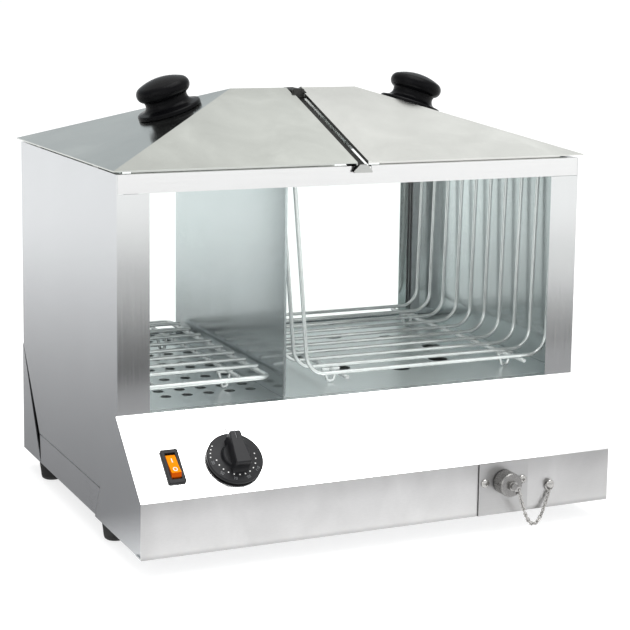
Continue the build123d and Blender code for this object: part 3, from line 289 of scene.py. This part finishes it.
# painted light and shade: the two lids are one steel, the left lid given a darker colour and the right lid a lighter
# one with its top darkened
lid_l_m = steel("stainless_left_lid", (0.58, 0.60, 0.57), 0.16, (1, 0.1, 1), 0.04, 0.03, 4.0, 0.11, 0.2, 0.004, 0.03, blotch=17.0)
# painted light: a lighter copy of the left lid's steel for its front and rear slopes, darkened towards its left end and
# its top as painted shade
lid_front_lit_m = steel("stainless_left_lid_front_painted_light", (0.645, 0.662, 0.625), 0.17, (1, 0.1, 1), 0.05, 0.03, 4.0, 0.13, 0.2, 0.004, 0.04,
                 [("X", -0.20, -0.04, 0.86, 1.0), ("Z", 0.345, 0.383, 1.0, 0.87)], 21.0)
lid_r_m = steel("stainless_right_lid", (0.755, 0.76, 0.73), 0.18, (1, 0.1, 1), 0.05, 0.03, 4.0, 0.11, 0.2, 0.004, 0.04,
                [("Z", 0.358, 0.383, 1.0, 0.88)], 19.0)
# painted shade: the bridge between the lids is near black, standing in for the shade in the groove; its front end keeps
# a steel grey
bridge_shade_m = steel("stainless_bridge", (0.020, 0.020, 0.019), 0.42, (1, 0.02, 1), 0.05, 0.006, 5.0, 0.06, 0.2, 0.001, 0.02)
bridge_end_m = steel("stainless_bridge_end", (0.56, 0.57, 0.55), 0.30, (0.02, 1, 1), 0.05, 0.02, 5.0, 0.06, 0.2, 0.004, 0.04)
base_m = steel("stainless_base", (0.60, 0.61, 0.625), 0.30, (1, 0.02, 1), 0.04, 0.01, 5.0, 0.04, 0.2, 0.005, 0.03)
# painted shade: the inner sheet darkens towards the cabinet floor
inner_m = steel("bright_stainless", (0.685, 0.725, 0.742), 0.20, (1, 1, 0.01), 0.03, 0.02, 7.0, 0.06, 0.0, 0.002, 0.02,
                [("Z", 0.122, 0.205, 0.66, 1.0)], 12.0, 0.86)
# painted light and shade: a lighter copy of the inner sheet for the right wall, darkened towards the bottom and both
# ends
wall_m = steel("bright_wall", (0.74, 0.795, 0.803), 0.17, (1, 1, 0.01), 0.03, 0.02, 7.0, 0.06, 0.0, 0.002, 0.02,
               [("Z", 0.122, 0.19, 0.80, 1.0), ("Y", 0.0, 0.11, 0.81, 1.0), ("Y", -0.10, 0.0, 0.88, 1.0)], 12.0, 0.78)
# painted light: the plates and tank get a near-white steel, lighter than the sheets' own
plate_m = steel("plate_stainless", (0.93, 0.955, 0.955), 0.31, (0.02, 1, 1), 0.03, 0.02, 9.0, 0.05, 0.0, 0.002, 0.02)
galv_m = steel("plated_sheet", (0.45, 0.46, 0.47), 0.42, (1, 1, 1), 0.06, 0.0, 6.0, 0.12)
wire_m = metal("bright_wire", (0.97, 0.975, 0.975), 0.15, 0.04, 90.0, 0.01, 0.6)
nickel_m = metal("bright_nickel", (0.47, 0.462, 0.447), 0.09, 0.04, 160.0, 0.02)
cap_m = metal("dull_nickel", (0.29, 0.285, 0.277), 0.26, 0.08, 160.0)
hinge_m = metal("dark_hinge", (0.055, 0.055, 0.052), 0.36, 0.08, 120.0)
ring_m = metal("shadowed_steel", (0.06, 0.06, 0.058), 0.40, 0.08, 140.0)
zinc_m = metal("zinc_plate", (0.56, 0.57, 0.58), 0.32, 0.10, 200.0)
brass_m = metal("brass", (0.72, 0.52, 0.22), 0.28, 0.08, 140.0)
copper_m = metal("copper", (0.72, 0.36, 0.20), 0.30, 0.08, 140.0)
sheath_m = metal("element_sheath", (0.22, 0.22, 0.23), 0.45, 0.12, 90.0)
alu_m = metal("glass_channel", (0.50, 0.51, 0.52), 0.35, 0.06, 150.0)
knob_m = plastic("black_knob", (0.0030, 0.0030, 0.0036), 0.24, 0.06, 900.0, 0.02, 0.002, 0.0)
dial_m = plastic("black_dial", (0.009, 0.0092, 0.0105), 0.34, 0.22, 900.0, 0.05, 0.006)
black_m = plastic("black_plastic", (0.012, 0.012, 0.013), 0.42, 0.25, 800.0, 0.08, 0.008)
rubber_m = plastic("black_rubber", (0.016, 0.016, 0.016), 0.62, 0.3, 500.0, 0.2, 0.02)
silicone_m = plastic("pale_silicone", (0.62, 0.62, 0.60), 0.55, 0.4, 400.0, 0.1, 0.03)
orange_m = plastic("orange_rocker", (0.90, 0.25, 0.0), 0.42, 0.04, 900.0, 0.02, 0.003)
# painted shade: a darker copy of the rocker's orange for its side faces and lower facet
rocker_shade_m = plastic("orange_rocker_painted_shade", (0.50, 0.075, 0.0), 0.45, 0.03, 900.0, 0.02, 0.003)
pale_m = plastic("pale_plastic", (0.66, 0.63, 0.54), 0.5, 0.4, 500.0, 0.1, 0.04)
wiring_m = plastic("sleeved_wire", (0.20, 0.03, 0.025), 0.5, 0.4, 600.0, 0.1, 0.02)
print_w = plastic("white_print", (0.80, 0.80, 0.78), 0.5, 0.4, 600.0, 0.05, 0.03)
print_d = plastic("grey_print", (0.16, 0.165, 0.17), 0.5, 0.4, 600.0, 0.05, 0.02)
print_k = plastic("dark_print", (0.03, 0.03, 0.03), 0.5, 0.4, 600.0, 0.05, 0.02)
glass_m = glass("clear_glass")

NODE_MAT = {
    "left_side_panel": side_m, "right_side_panel": side_m, "front_header": front_m, "rear_header": front_m,
    "control_panel": front_m, "base_tray": base_m, "rear_base_wall": side_m, "rear_cover": side_m,
    "rear_cover_screws": zinc_m, "cable_bush": rubber_m, "rubber_feet": rubber_m, "foot_screws": zinc_m,
    "front_glass": glass_m, "rear_glass": glass_m, "front_glass_channels": alu_m, "rear_glass_channels": alu_m,
    "water_tank": plate_m, "tank_supports": galv_m, "plate_support_bar": plate_m, "bun_steam_plate": plate_m,
    "sausage_steam_plate": plate_m, "center_divider": inner_m, "heating_element": sheath_m, "element_bushings": brass_m,
    "thermostat_body": galv_m, "thermostat_screws": zinc_m, "thermostat_bulb": copper_m, "thermostat_dial": dial_m,
    "thermostat_shaft": zinc_m, "switch_body": black_m, "power_rocker": orange_m, "rocker_pin": zinc_m,
    "drain_plate": drain_m, "drain_plate_screws": nickel_m, "drain_pipe": brass_m, "drain_cap": cap_m,
    "drain_cap_washer": rubber_m, "cap_chain_eye": nickel_m, "chain_rivet": nickel_m, "drain_chain": nickel_m,
    "roof_bridge": bridge_shade_m, "lid_hinge_bracket": hinge_m, "lid_hinge_pins": hinge_m, "left_lid": lid_l_m, "right_lid": lid_r_m,
    "right_lid_hinge": hinge_m, "left_lid_hinge": hinge_m, "lid_bumpers": silicone_m, "right_lid_knob": knob_m,
    "left_lid_knob": knob_m, "right_knob_screw": zinc_m, "left_knob_screw": zinc_m, "sausage_basket_wires": wire_m, "sausage_basket_frame": wire_m,
    "bun_rack": wire_m, "terminal_block": pale_m, "high_limit_cutout": pale_m, "reset_button": orange_m,
    "wiring": wiring_m, "control_panel_screws": zinc_m,
}
for name, ob in NODES.items():
    ob.data.materials.clear()
    ob.data.materials.append(NODE_MAT.get(name, wire_m))


def second_material(name, mat, test):
    """Faces of a CAD node that pass the test get a second material."""
    me = NODES[name].data
    me.materials.append(mat)
    k = len(me.materials) - 1
    for p in me.polygons:
        if test(p.center * 1000.0, p.normal):
            p.material_index = k


# the sides' inner faces get the lighter inner sheets with painted shade towards the bottom; the posts are brushed along
# their length and painted lighter than the sides
second_material("left_side_panel", inner_m, lambda c, n: n.x > 0.9 and c.z > 60)
second_material("right_side_panel", wall_m, lambda c, n: n.x < -0.9 and c.z > 60)
for nm in ("left_side_panel", "right_side_panel"):
    second_material(nm, post_m, lambda c, n: n.y < -0.9)
# painted shade: the panel's upright skirt gets the darker skirt copy of the front steel
second_material("control_panel", skirt_m, lambda c, n: n.y < -0.9 and c.z < 62.4 + LIFT)
# painted light: the left lid's front and rear slopes get the lighter copy of its steel
second_material("left_lid", lid_front_lit_m, lambda c, n: abs(n.y) > 0.2 and n.z > 0.5)
# the bridge's front end keeps the steel grey, the rest of it is painted shade
second_material("roof_bridge", bridge_end_m, lambda c, n: n.y < -0.9 and c.y < -100)
# painted shade: the rocker's side faces and lower facet get the darker orange
second_material("power_rocker", rocker_shade_m, lambda c, n: abs(n.x) > 0.8 or n.y * 0.7438 + n.z * 0.6683 < -0.3)
# painted shadow: the drain plate's left side face gets the dark shadowed steel
second_material("drain_plate", ring_m, lambda c, n: n.x < -0.9)
# painted shadow: the cap's rear rim against the plate gets the dark shadowed steel
CAP_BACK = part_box("drain_cap")[1][1] * 1000.0
second_material("drain_cap", ring_m, lambda c, n: c.y > CAP_BACK - 1.4)

# ---------------------------------------------------------------------------
# chain: real oval links hanging between the cap's eye and the rivet
# ---------------------------------------------------------------------------
WR = 0.66
EX0 = (119.3, -82.4, 40.4)
EX1 = (160.9, -65.85, 31.95)
LOW = 4.6


def chain_curve(n=400):
    r = math.sqrt((EX0[2] - LOW) / (EX1[2] - LOW))
    tm = r / (1 + r)
    a = (EX0[2] - LOW) / tm ** 2
    return [Vector((EX0[0] + (EX1[0] - EX0[0]) * k / n, EX0[1] + (EX1[1] - EX0[1]) * k / n, LOW + a * (k / n - tm) ** 2)) for k in range(n + 1)]


def tube_loop(points, normal_hint, r, sides=8):
    """Closed tube round a closed list of points that lie in a plane with that normal."""
    verts, faces = [], []
    n = len(points)
    for i in range(n):
        t = (points[(i + 1) % n] - points[i - 1]).normalized()
        b = normal_hint.normalized()
        u = t.cross(b).normalized()
        for k in range(sides):
            a = 2 * math.pi * k / sides
            verts.append(points[i] + u * (r * math.cos(a)) + b * (r * math.sin(a)))
    for i in range(n):
        j = (i + 1) % n
        for k in range(sides):
            m = (k + 1) % sides
            faces.append((i * sides + k, j * sides + k, j * sides + m, i * sides + m))
    return verts, faces


def oval(length, width, centre, tx, side):
    hl, hw = length / 2 - WR, width / 2 - WR
    st = hl - hw
    pts = []
    for k in range(13):
        a = math.pi / 2 - math.pi * k / 12
        pts.append(centre + tx * (st + hw * math.cos(a)) + side * (hw * math.sin(a)))
    for k in range(13):
        a = -math.pi / 2 - math.pi * k / 12
        pts.append(centre + tx * (-st + hw * math.cos(a)) + side * (hw * math.sin(a)))
    return pts


cv = chain_curve()
acc = [0.0]
for p, q in zip(cv, cv[1:]):
    acc.append(acc[-1] + (q - p).length)
total = acc[-1]
n_link = 2 * int(round((total / 3.55 - 1) / 2)) + 1
pitch = total / n_link


def along(s):
    s = max(0.0, min(total, s))
    for k in range(1, len(acc)):
        if acc[k] >= s:
            f = (s - acc[k - 1]) / (acc[k] - acc[k - 1])
            return cv[k - 1].lerp(cv[k], f)
    return cv[-1]


V, F = [], []
for k in range(n_link):
    c0, c1 = along(k * pitch), along((k + 1) * pitch)
    c = (c0 + c1) * 0.5
    tx = (c1 - c0).normalized()
    ax = Vector((0, 1, 0))
    side = tx.cross(ax).normalized() if k % 2 else (ax - tx * ax.dot(tx)).normalized()
    # a hand-hung chain never lies perfectly square: each link is turned a little
    tw = 0.22 * math.sin(2.3 * k + 0.7)
    nz = tx.cross(side).normalized()
    side = (side * math.cos(tw) + nz * math.sin(tw)).normalized()
    nz = tx.cross(side).normalized()
    v, f = tube_loop(oval(pitch + 2 * WR + 1.3, 3.9, c, tx, side), nz, WR)
    o = len(V)
    V += v
    F += [tuple(i + o for i in q) for q in f]
rc = Vector((160.9, -65.85, 37.4 - 2.15))
ring = [rc + Vector((3.8 * math.cos(a), 0, 3.8 * math.sin(a))) for a in [2 * math.pi * k / 32 for k in range(32)]]
v, f = tube_loop(ring, Vector((0, 1, 0)), WR)
o = len(V)
V += v
F += [tuple(i + o for i in q) for q in f]
chain = mesh_object("hanging_chain", [mm(*v) for v in V], F, True)
chain.data.materials.append(nickel_m)
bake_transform(chain)
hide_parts("drain_chain")

# ---------------------------------------------------------------------------
# print: marks on the dial, the index on the panel, the rocker's marks
# ---------------------------------------------------------------------------
PL = math.hypot(64.0, 57.5)
PC, PS = 64.0 / PL, 57.5 / PL
PN = Vector((0, -PS, PC))
PU = Vector((0, PC, PS))          # up the slope
PX = Vector((1, 0, 0))


def pan(x, s, h=0.0):
    return Vector((x, -s * PC, 120.0 - s * PS)) + PN * h


def disc(c, u, v, r, n=14, rr=None):
    rr = rr or r
    vs = [c + u * (r * math.cos(2 * math.pi * k / n)) + v * (rr * math.sin(2 * math.pi * k / n)) for k in range(n)]
    return vs, [tuple(range(n))]


def bar(c, u, v, a, b):
    return [c - u * a - v * b, c + u * a - v * b, c + u * a + v * b, c - u * a + v * b], [(0, 1, 2, 3)]


def slab(verts, faces, d):
    """Gives a flat outline a small thickness along d, so print is a closed film."""
    n = len(verts)
    vs = list(verts) + [p + d for p in verts]
    fs = []
    for f in faces:
        fs.append(tuple(reversed(f)))
        fs.append(tuple(i + n for i in f))
        for i in range(len(f)):
            a, b = f[i], f[(i + 1) % len(f)]
            fs.append((a, b, b + n, a + n))
    return vs, fs


SEG = {  # seven-stroke numerals on a 2 x 4 grid
    "0": [(0, 0, 1, 0), (1, 0, 1, 2), (1, 2, 0, 2), (0, 2, 0, 0)],
    "1": [(0.5, 0, 0.5, 2)],
    "2": [(0, 2, 1, 2), (1, 2, 1, 1), (1, 1, 0, 1), (0, 1, 0, 0), (0, 0, 1, 0)],
    "3": [(0, 2, 1, 2), (1, 2, 1, 0), (1, 0, 0, 0), (0.2, 1, 1, 1)],
    "4": [(0, 2, 0, 1), (0, 1, 1, 1), (1, 2, 1, 0)],
    "5": [(1, 2, 0, 2), (0, 2, 0, 1), (0, 1, 1, 1), (1, 1, 1, 0), (1, 0, 0, 0)],
    "6": [(1, 2, 0, 2), (0, 2, 0, 0), (0, 0, 1, 0), (1, 0, 1, 1), (1, 1, 0, 1)],
    "7": [(0, 2, 1, 2), (1, 2, 0.4, 0)],
    "8": [(0, 0, 1, 0), (1, 0, 1, 2), (1, 2, 0, 2), (0, 2, 0, 0), (0, 1, 1, 1)],
    "9": [(0, 0, 1, 0), (1, 0, 1, 2), (1, 2, 0, 2), (0, 2, 0, 1), (0, 1, 1, 1)],
}


def stroke(p, q, w, nrm):
    t = (q - p).normalized()
    s = nrm.cross(t).normalized() * (w / 2)
    p, q = p - t * (w / 2), q + t * (w / 2)
    return [p - s, q - s, q + s, p + s], [(0, 1, 2, 3)]


V, F = [], []


def put(vf, d):
    global V, F
    vs, fs = slab(vf[0], vf[1], d)
    o = len(V)
    V += vs
    F += [tuple(i + o for i in q) for q in fs]


DC = pan(-134, 54.5, 1.4)


def skirt_frame(deg, r):
    """Point on the dial's coned skirt with its radial, tangent and normal directions."""
    a = math.radians(deg)
    rad = PX * math.cos(a) + PU * math.sin(a)
    tan = PX * -math.sin(a) + PU * math.cos(a)
    slope = (rad * 10.7 - PN * 1.4).normalized()
    nrm = (PN * 10.7 + rad * 1.4).normalized()
    return DC + rad * r + PN * (3.2 + (23.9 - r) / 10.7 * 1.4 + 0.03), slope, tan, nrm


for k in range(12):
    c, slope, tan, nrm = skirt_frame(184 + 16.4 * k, 17.4)
    put(disc(c, slope, tan, 0.62, 12), nrm * 0.05)
for deg in (173.5, 163.3, 153.3, 143.0):
    c, slope, tan, nrm = skirt_frame(deg, 21.6)
    put(disc(c, slope, tan, 0.6, 12), nrm * 0.05)
marks = mesh_object("dial_print", [mm(*v) for v in V], F)
marks.data.materials.append(print_w)
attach(marks, "thermostat_dial")

# temperatures outside the dots, tops to the rim, and the line in the grip's groove
V, F = [], []
for j, digits in enumerate(("30", "50", "70", "90", "110")):
    deg = 188 + 33.0 * j
    w, h = 1.05, 1.9
    for i, ch in enumerate(digits):
        off = (i - (len(digits) - 1) / 2) * 1.75
        for x0, y0, x1, y1 in SEG[ch]:
            pts = []
            for x, y in ((x0, y0), (x1, y1)):
                p, slope, tan, nrm = skirt_frame(deg, 20.9 - (y - 1) * h / 2)
                pts.append(p + tan * (off + (x - 0.5) * w))
            put(stroke(pts[0], pts[1], 0.34, nrm), nrm * 0.05)
put(bar(DC + PU * 14.0 + PN * 18.42, PX, PU, 0.3, 4.6), PN * 0.05)
nums = mesh_object("dial_numerals", [mm(*v) for v in V], F)
nums.data.materials.append(print_d)
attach(nums, "thermostat_dial")

V, F = [], []
put(bar(pan(-132.5, 24.6, 0.02), PX, PU, 0.45, 2.1), PN * 0.04)
idx = mesh_object("panel_index_mark", [mm(*v) for v in V], F)
idx.data.materials.append(print_k)
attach(idx, "cabinet")

V, F = [], []
SC = pan(-188.3, 54.5)
hi_u = (PU * 9.8 - PN * 1.4).normalized()
lo_u = (PU * 8.4 - PN * 2.2).normalized()
lo_n = PX.cross(lo_u).normalized()
hi_n = PX.cross(hi_u).normalized()
c = SC + PU * 5.0 + PN * (3.1 - 5.0 * 1.4 / 9.8 + 0.02)
put(bar(c, PX, hi_u, 0.42, 2.1), hi_n * 0.05)
c = SC - PU * 4.5 + PN * (3.1 + 4.5 * 2.2 / 8.4 + 0.02)
n = 24
for k in range(n):
    a, b = 2 * math.pi * k / n, 2 * math.pi * (k + 1) / n
    q = [c + PX * (r * math.cos(t)) + lo_u * (r * 1.15 * math.sin(t)) for r, t in ((1.3, a), (2.0, a), (2.0, b), (1.3, b))]
    put((q, [(0, 1, 2, 3)]), lo_n * 0.05)
rm = mesh_object("rocker_print", [mm(*v) for v in V], F)
rm.data.materials.append(print_w)
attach(rm, "power_rocker")

# ---------------------------------------------------------------------------
# stage: floor, light, camera
# ---------------------------------------------------------------------------


def emit_card(name, centre, look, w, h, color, power, camera=False):
    z = (Vector(look) - Vector(centre)).normalized()
    x = z.cross(Vector((0, 0, 1)))
    x = x.normalized() if x.length > 1e-4 else Vector((1, 0, 0))
    y = x.cross(z).normalized()
    c = Vector(centre)
    ob = mesh_object(name, [c - x * w / 2 - y * h / 2, c + x * w / 2 - y * h / 2, c + x * w / 2 + y * h / 2, c - x * w / 2 + y * h / 2], [(0, 1, 2, 3)])
    m = bpy.data.materials.new(name)
    nt = Nodes(m)
    out = nt.n("ShaderNodeOutputMaterial")
    em = nt.n("ShaderNodeEmission")
    em.inputs["Color"].default_value = (*color, 1)
    em.inputs["Strength"].default_value = power
    nt.l(em.outputs["Emission"], out.inputs["Surface"])
    ob.data.materials.append(m)
    ob.visible_camera = camera
    ob.visible_shadow = False
    return ob


def area(name, loc, look, sx, sy, power, color=(1, 1, 1)):
    li = bpy.data.lights.new(name, "AREA")
    li.shape = "RECTANGLE"
    li.size, li.size_y = sx, sy
    li.energy = power
    li.color = color
    ob = bpy.data.objects.new(name, li)
    bpy.context.scene.collection.objects.link(ob)
    ob.location = loc
    d = Vector(look) - Vector(loc)
    ob.rotation_mode = "QUATERNION"
    ob.rotation_quaternion = d.to_track_quat("-Z", "Y")
    return ob


n = 48
fv = [Vector((0, 0, -0.0002))]
for r in (0.6, 2.5, 9.0):
    fv += [Vector((r * math.cos(2 * math.pi * k / n), r * math.sin(2 * math.pi * k / n), -0.0002)) for k in range(n)]
ff = [(0, 1 + k, 1 + (k + 1) % n) for k in range(n)]
for b in (0, 1):
    s0, s1 = 1 + b * n, 1 + (b + 1) * n
    ff += [(s0 + k, s1 + k, s1 + (k + 1) % n, s0 + (k + 1) % n) for k in range(n)]
floor = mesh_object("studio_floor", fv, ff)
fm = bpy.data.materials.new("studio_floor")
nt = Nodes(fm)
out = nt.n("ShaderNodeOutputMaterial")
bs = nt.n("ShaderNodeBsdfPrincipled")
bs.inputs["Base Color"].default_value = (0.42, 0.42, 0.42, 1)
bs.inputs["Emission Color"].default_value = (1, 1, 1, 1)
bs.inputs["Emission Strength"].default_value = 0.70
bs.inputs["Roughness"].default_value = 0.9
bs.inputs["Specular IOR Level"].default_value = 0.1
nt.l(bs.outputs["BSDF"], out.inputs["Surface"])
floor.data.materials.append(fm)

w = bpy.data.worlds.new("studio")
bpy.context.scene.world = w
w.use_nodes = True
wt = w.node_tree
bg = wt.nodes["Background"]
bg.inputs["Strength"].default_value = 1.0
tcw = wt.nodes.new("ShaderNodeTexCoord")
sp = wt.nodes.new("ShaderNodeSeparateXYZ")
wt.links.new(tcw.outputs["Generated"], sp.inputs["Vector"])


def sky(stops):
    wr = wt.nodes.new("ShaderNodeValToRGB")
    wt.links.new(sp.outputs["Z"], wr.inputs["Fac"])
    el = wr.color_ramp.elements
    el[0].position, el[0].color = stops[0][0], (*stops[0][1], 1)
    el[1].position, el[1].color = stops[1][0], (*stops[1][1], 1)
    for p_, c_ in stops[2:]:
        e_ = el.new(p_)
        e_.color = (*c_, 1)
    return wr.outputs["Color"]


# behind the machine the room falls off above the horizon, in front it is one large soft light
back = sky([(0.0, (1.02, 1.02, 1.02)), (0.14, (1.0, 1.0, 1.0)), (0.22, (0.56, 0.60, 0.62)), (0.42, (0.54, 0.58, 0.60)),
            (0.60, (0.80, 0.81, 0.80)), (0.78, (0.95, 0.95, 0.93)), (0.88, (1.5, 1.5, 1.5)), (1.0, (1.7, 1.7, 1.7))])
front = sky([(0.0, (1.1, 1.1, 1.1)), (0.15, (1.25, 1.25, 1.25)), (0.30, (1.5, 1.5, 1.5)), (0.48, (0.92, 0.93, 0.94)), (0.86, (0.88, 0.89, 0.90)), (1.0, (1.6, 1.6, 1.6))])
mixw = wt.nodes.new("ShaderNodeMix")
mixw.data_type = "RGBA"
mrw = wt.nodes.new("ShaderNodeMapRange")
mrw.inputs["From Min"].default_value = -0.35
mrw.inputs["From Max"].default_value = 0.15
wt.links.new(sp.outputs["Y"], mrw.inputs["Value"])
wt.links.new(mrw.outputs["Result"], mixw.inputs["Factor"])
wt.links.new(front, mixw.inputs["A"])
wt.links.new(back, mixw.inputs["B"])
wt.links.new(mixw.outputs["Result"], bg.inputs["Color"])

area("key_over", (0.3, -0.4, 2.4), (0, 0, 0.2), 1.8, 1.8, 30)
area("fill_left", (-2.2, -1.2, 1.1), (0, 0, 0.2), 1.4, 1.6, 5)
area("back_right", (1.25, 1.35, 1.75), (0, 0, 0.35), 1.3, 1.3, 0.8)


def ground_shade(name, z, radius, edge, tones, keep, thin=0.0):
    """Soft dark patch of ground seen only in reflections; its tone changes from front to back."""
    n_ = 64
    ob = mesh_object(name, [(0, 0, 0)] + [(radius * math.cos(2 * math.pi * k / n_), radius * math.sin(2 * math.pi * k / n_), 0) for k in range(n_)],
                     [(0, 1 + k, 1 + (k + 1) % n_) for k in range(n_)])
    ob.location = (0, 0, z)
    m = bpy.data.materials.new(name)
    k = Nodes(m)
    o_ = k.n("ShaderNodeOutputMaterial")
    em = k.n("ShaderNodeEmission")
    tr = k.n("ShaderNodeBsdfTransparent")
    tc = k.n("ShaderNodeTexCoord")
    sx = k.n("ShaderNodeSeparateXYZ")
    k.l(tc.outputs["Object"], sx.inputs["Vector"])
    depth = to_range(k, sx.outputs["Y"], 0.0, 1.0, -1.2, 0.3)
    k.l(ramp(k, depth, [((y + 1.2) / 1.5, (v, v, v * 1.02)) for y, v in tones]), em.inputs["Color"])
    ln = k.n("ShaderNodeVectorMath", _operation="LENGTH")
    k.l(tc.outputs["Object"], ln.inputs[0])
    mr = k.n("ShaderNodeMapRange", _interpolation_type="SMOOTHSTEP")
    mr.inputs["From Min"].default_value = edge * radius
    mr.inputs["From Max"].default_value = radius
    mr.inputs["To Min"].default_value = 0.0
    mr.inputs["To Max"].default_value = 1.0
    k.l(ln.outputs["Value"], mr.inputs["Value"])
    half = to_range(k, sx.outputs["Y"], 0.0, 1.0, keep[0], keep[1])
    mxm = k.n("ShaderNodeMath", _operation="MAXIMUM")
    k.l(mr.outputs["Result"], mxm.inputs[0])
    k.l(half, mxm.inputs[1])
    if thin:
        # the patch is thinner on the machine's right, behind the window
        slant = k.n("ShaderNodeMath", _operation="MULTIPLY_ADD")
        slant.inputs[1].default_value = 0.46
        k.l(sx.outputs["Y"], slant.inputs[0])
        k.l(sx.outputs["X"], slant.inputs[2])
        more = k.n("ShaderNodeMath", _operation="MAXIMUM")
        k.l(mxm.outputs["Value"], more.inputs[0])
        k.l(to_range(k, slant.outputs["Value"], 0.0, thin, 0.0, 0.10), more.inputs[1])
        mxm = more
    mx = k.n("ShaderNodeMixShader")
    k.l(mxm.outputs["Value"], mx.inputs["Fac"])
    k.l(em.outputs["Emission"], mx.inputs[1])
    k.l(tr.outputs["BSDF"], mx.inputs[2])
    k.l(mx.outputs["Shader"], o_.inputs["Surface"])
    ob.data.materials.append(m)
    ob.visible_camera = False
    ob.visible_diffuse = False
    ob.visible_shadow = False
    ob.visible_transmission = False
    return ob


ground_shade("shade_front", 0.004, 2.3, 0.25, [(-0.70, 0.05), (-0.54, 0.6), (-0.42, 1.0), (0.3, 1.0)], (-0.30, -0.20))
ground_shade("shade_side", 0.003, 2.2, 0.0, [(-1.2, 0.30), (0.3, 0.30)], (0.0, -0.15), 0.5)

cam_d = bpy.data.cameras.new("camera")
cam_d.lens, cam_d.sensor_width, cam_d.sensor_fit = 36 * 1732.18 / 630, 36, "HORIZONTAL"
cam_d.shift_y = -0.12
cam_d.clip_start, cam_d.clip_end = 0.05, 60
cam_d.dof.use_dof = False
cam = bpy.data.objects.new("camera", cam_d)
bpy.context.scene.collection.objects.link(cam)
yaw, pitch, roll = 0.4300, 0.1522, 0.0132
fwd = Vector((math.sin(yaw), math.cos(yaw), 0))
right = Vector((math.cos(yaw), -math.sin(yaw), 0))
f2 = fwd * math.cos(pitch) - Vector((0, 0, 1)) * math.sin(pitch)
u2 = Vector((0, 0, 1)) * math.cos(pitch) + fwd * math.sin(pitch)
r3 = right * math.cos(roll) + u2 * math.sin(roll)
u3 = u2 * math.cos(roll) - right * math.sin(roll)
rot = Matrix((r3, u3, -f2)).transposed().to_4x4()
cam.matrix_world = Matrix.Translation(mm(-659.98, -1344.16, 486.88)) @ rot
bpy.context.scene.camera = cam
bpy.context.scene.view_settings.view_transform = "Standard"

bpy.context.view_layer.update()
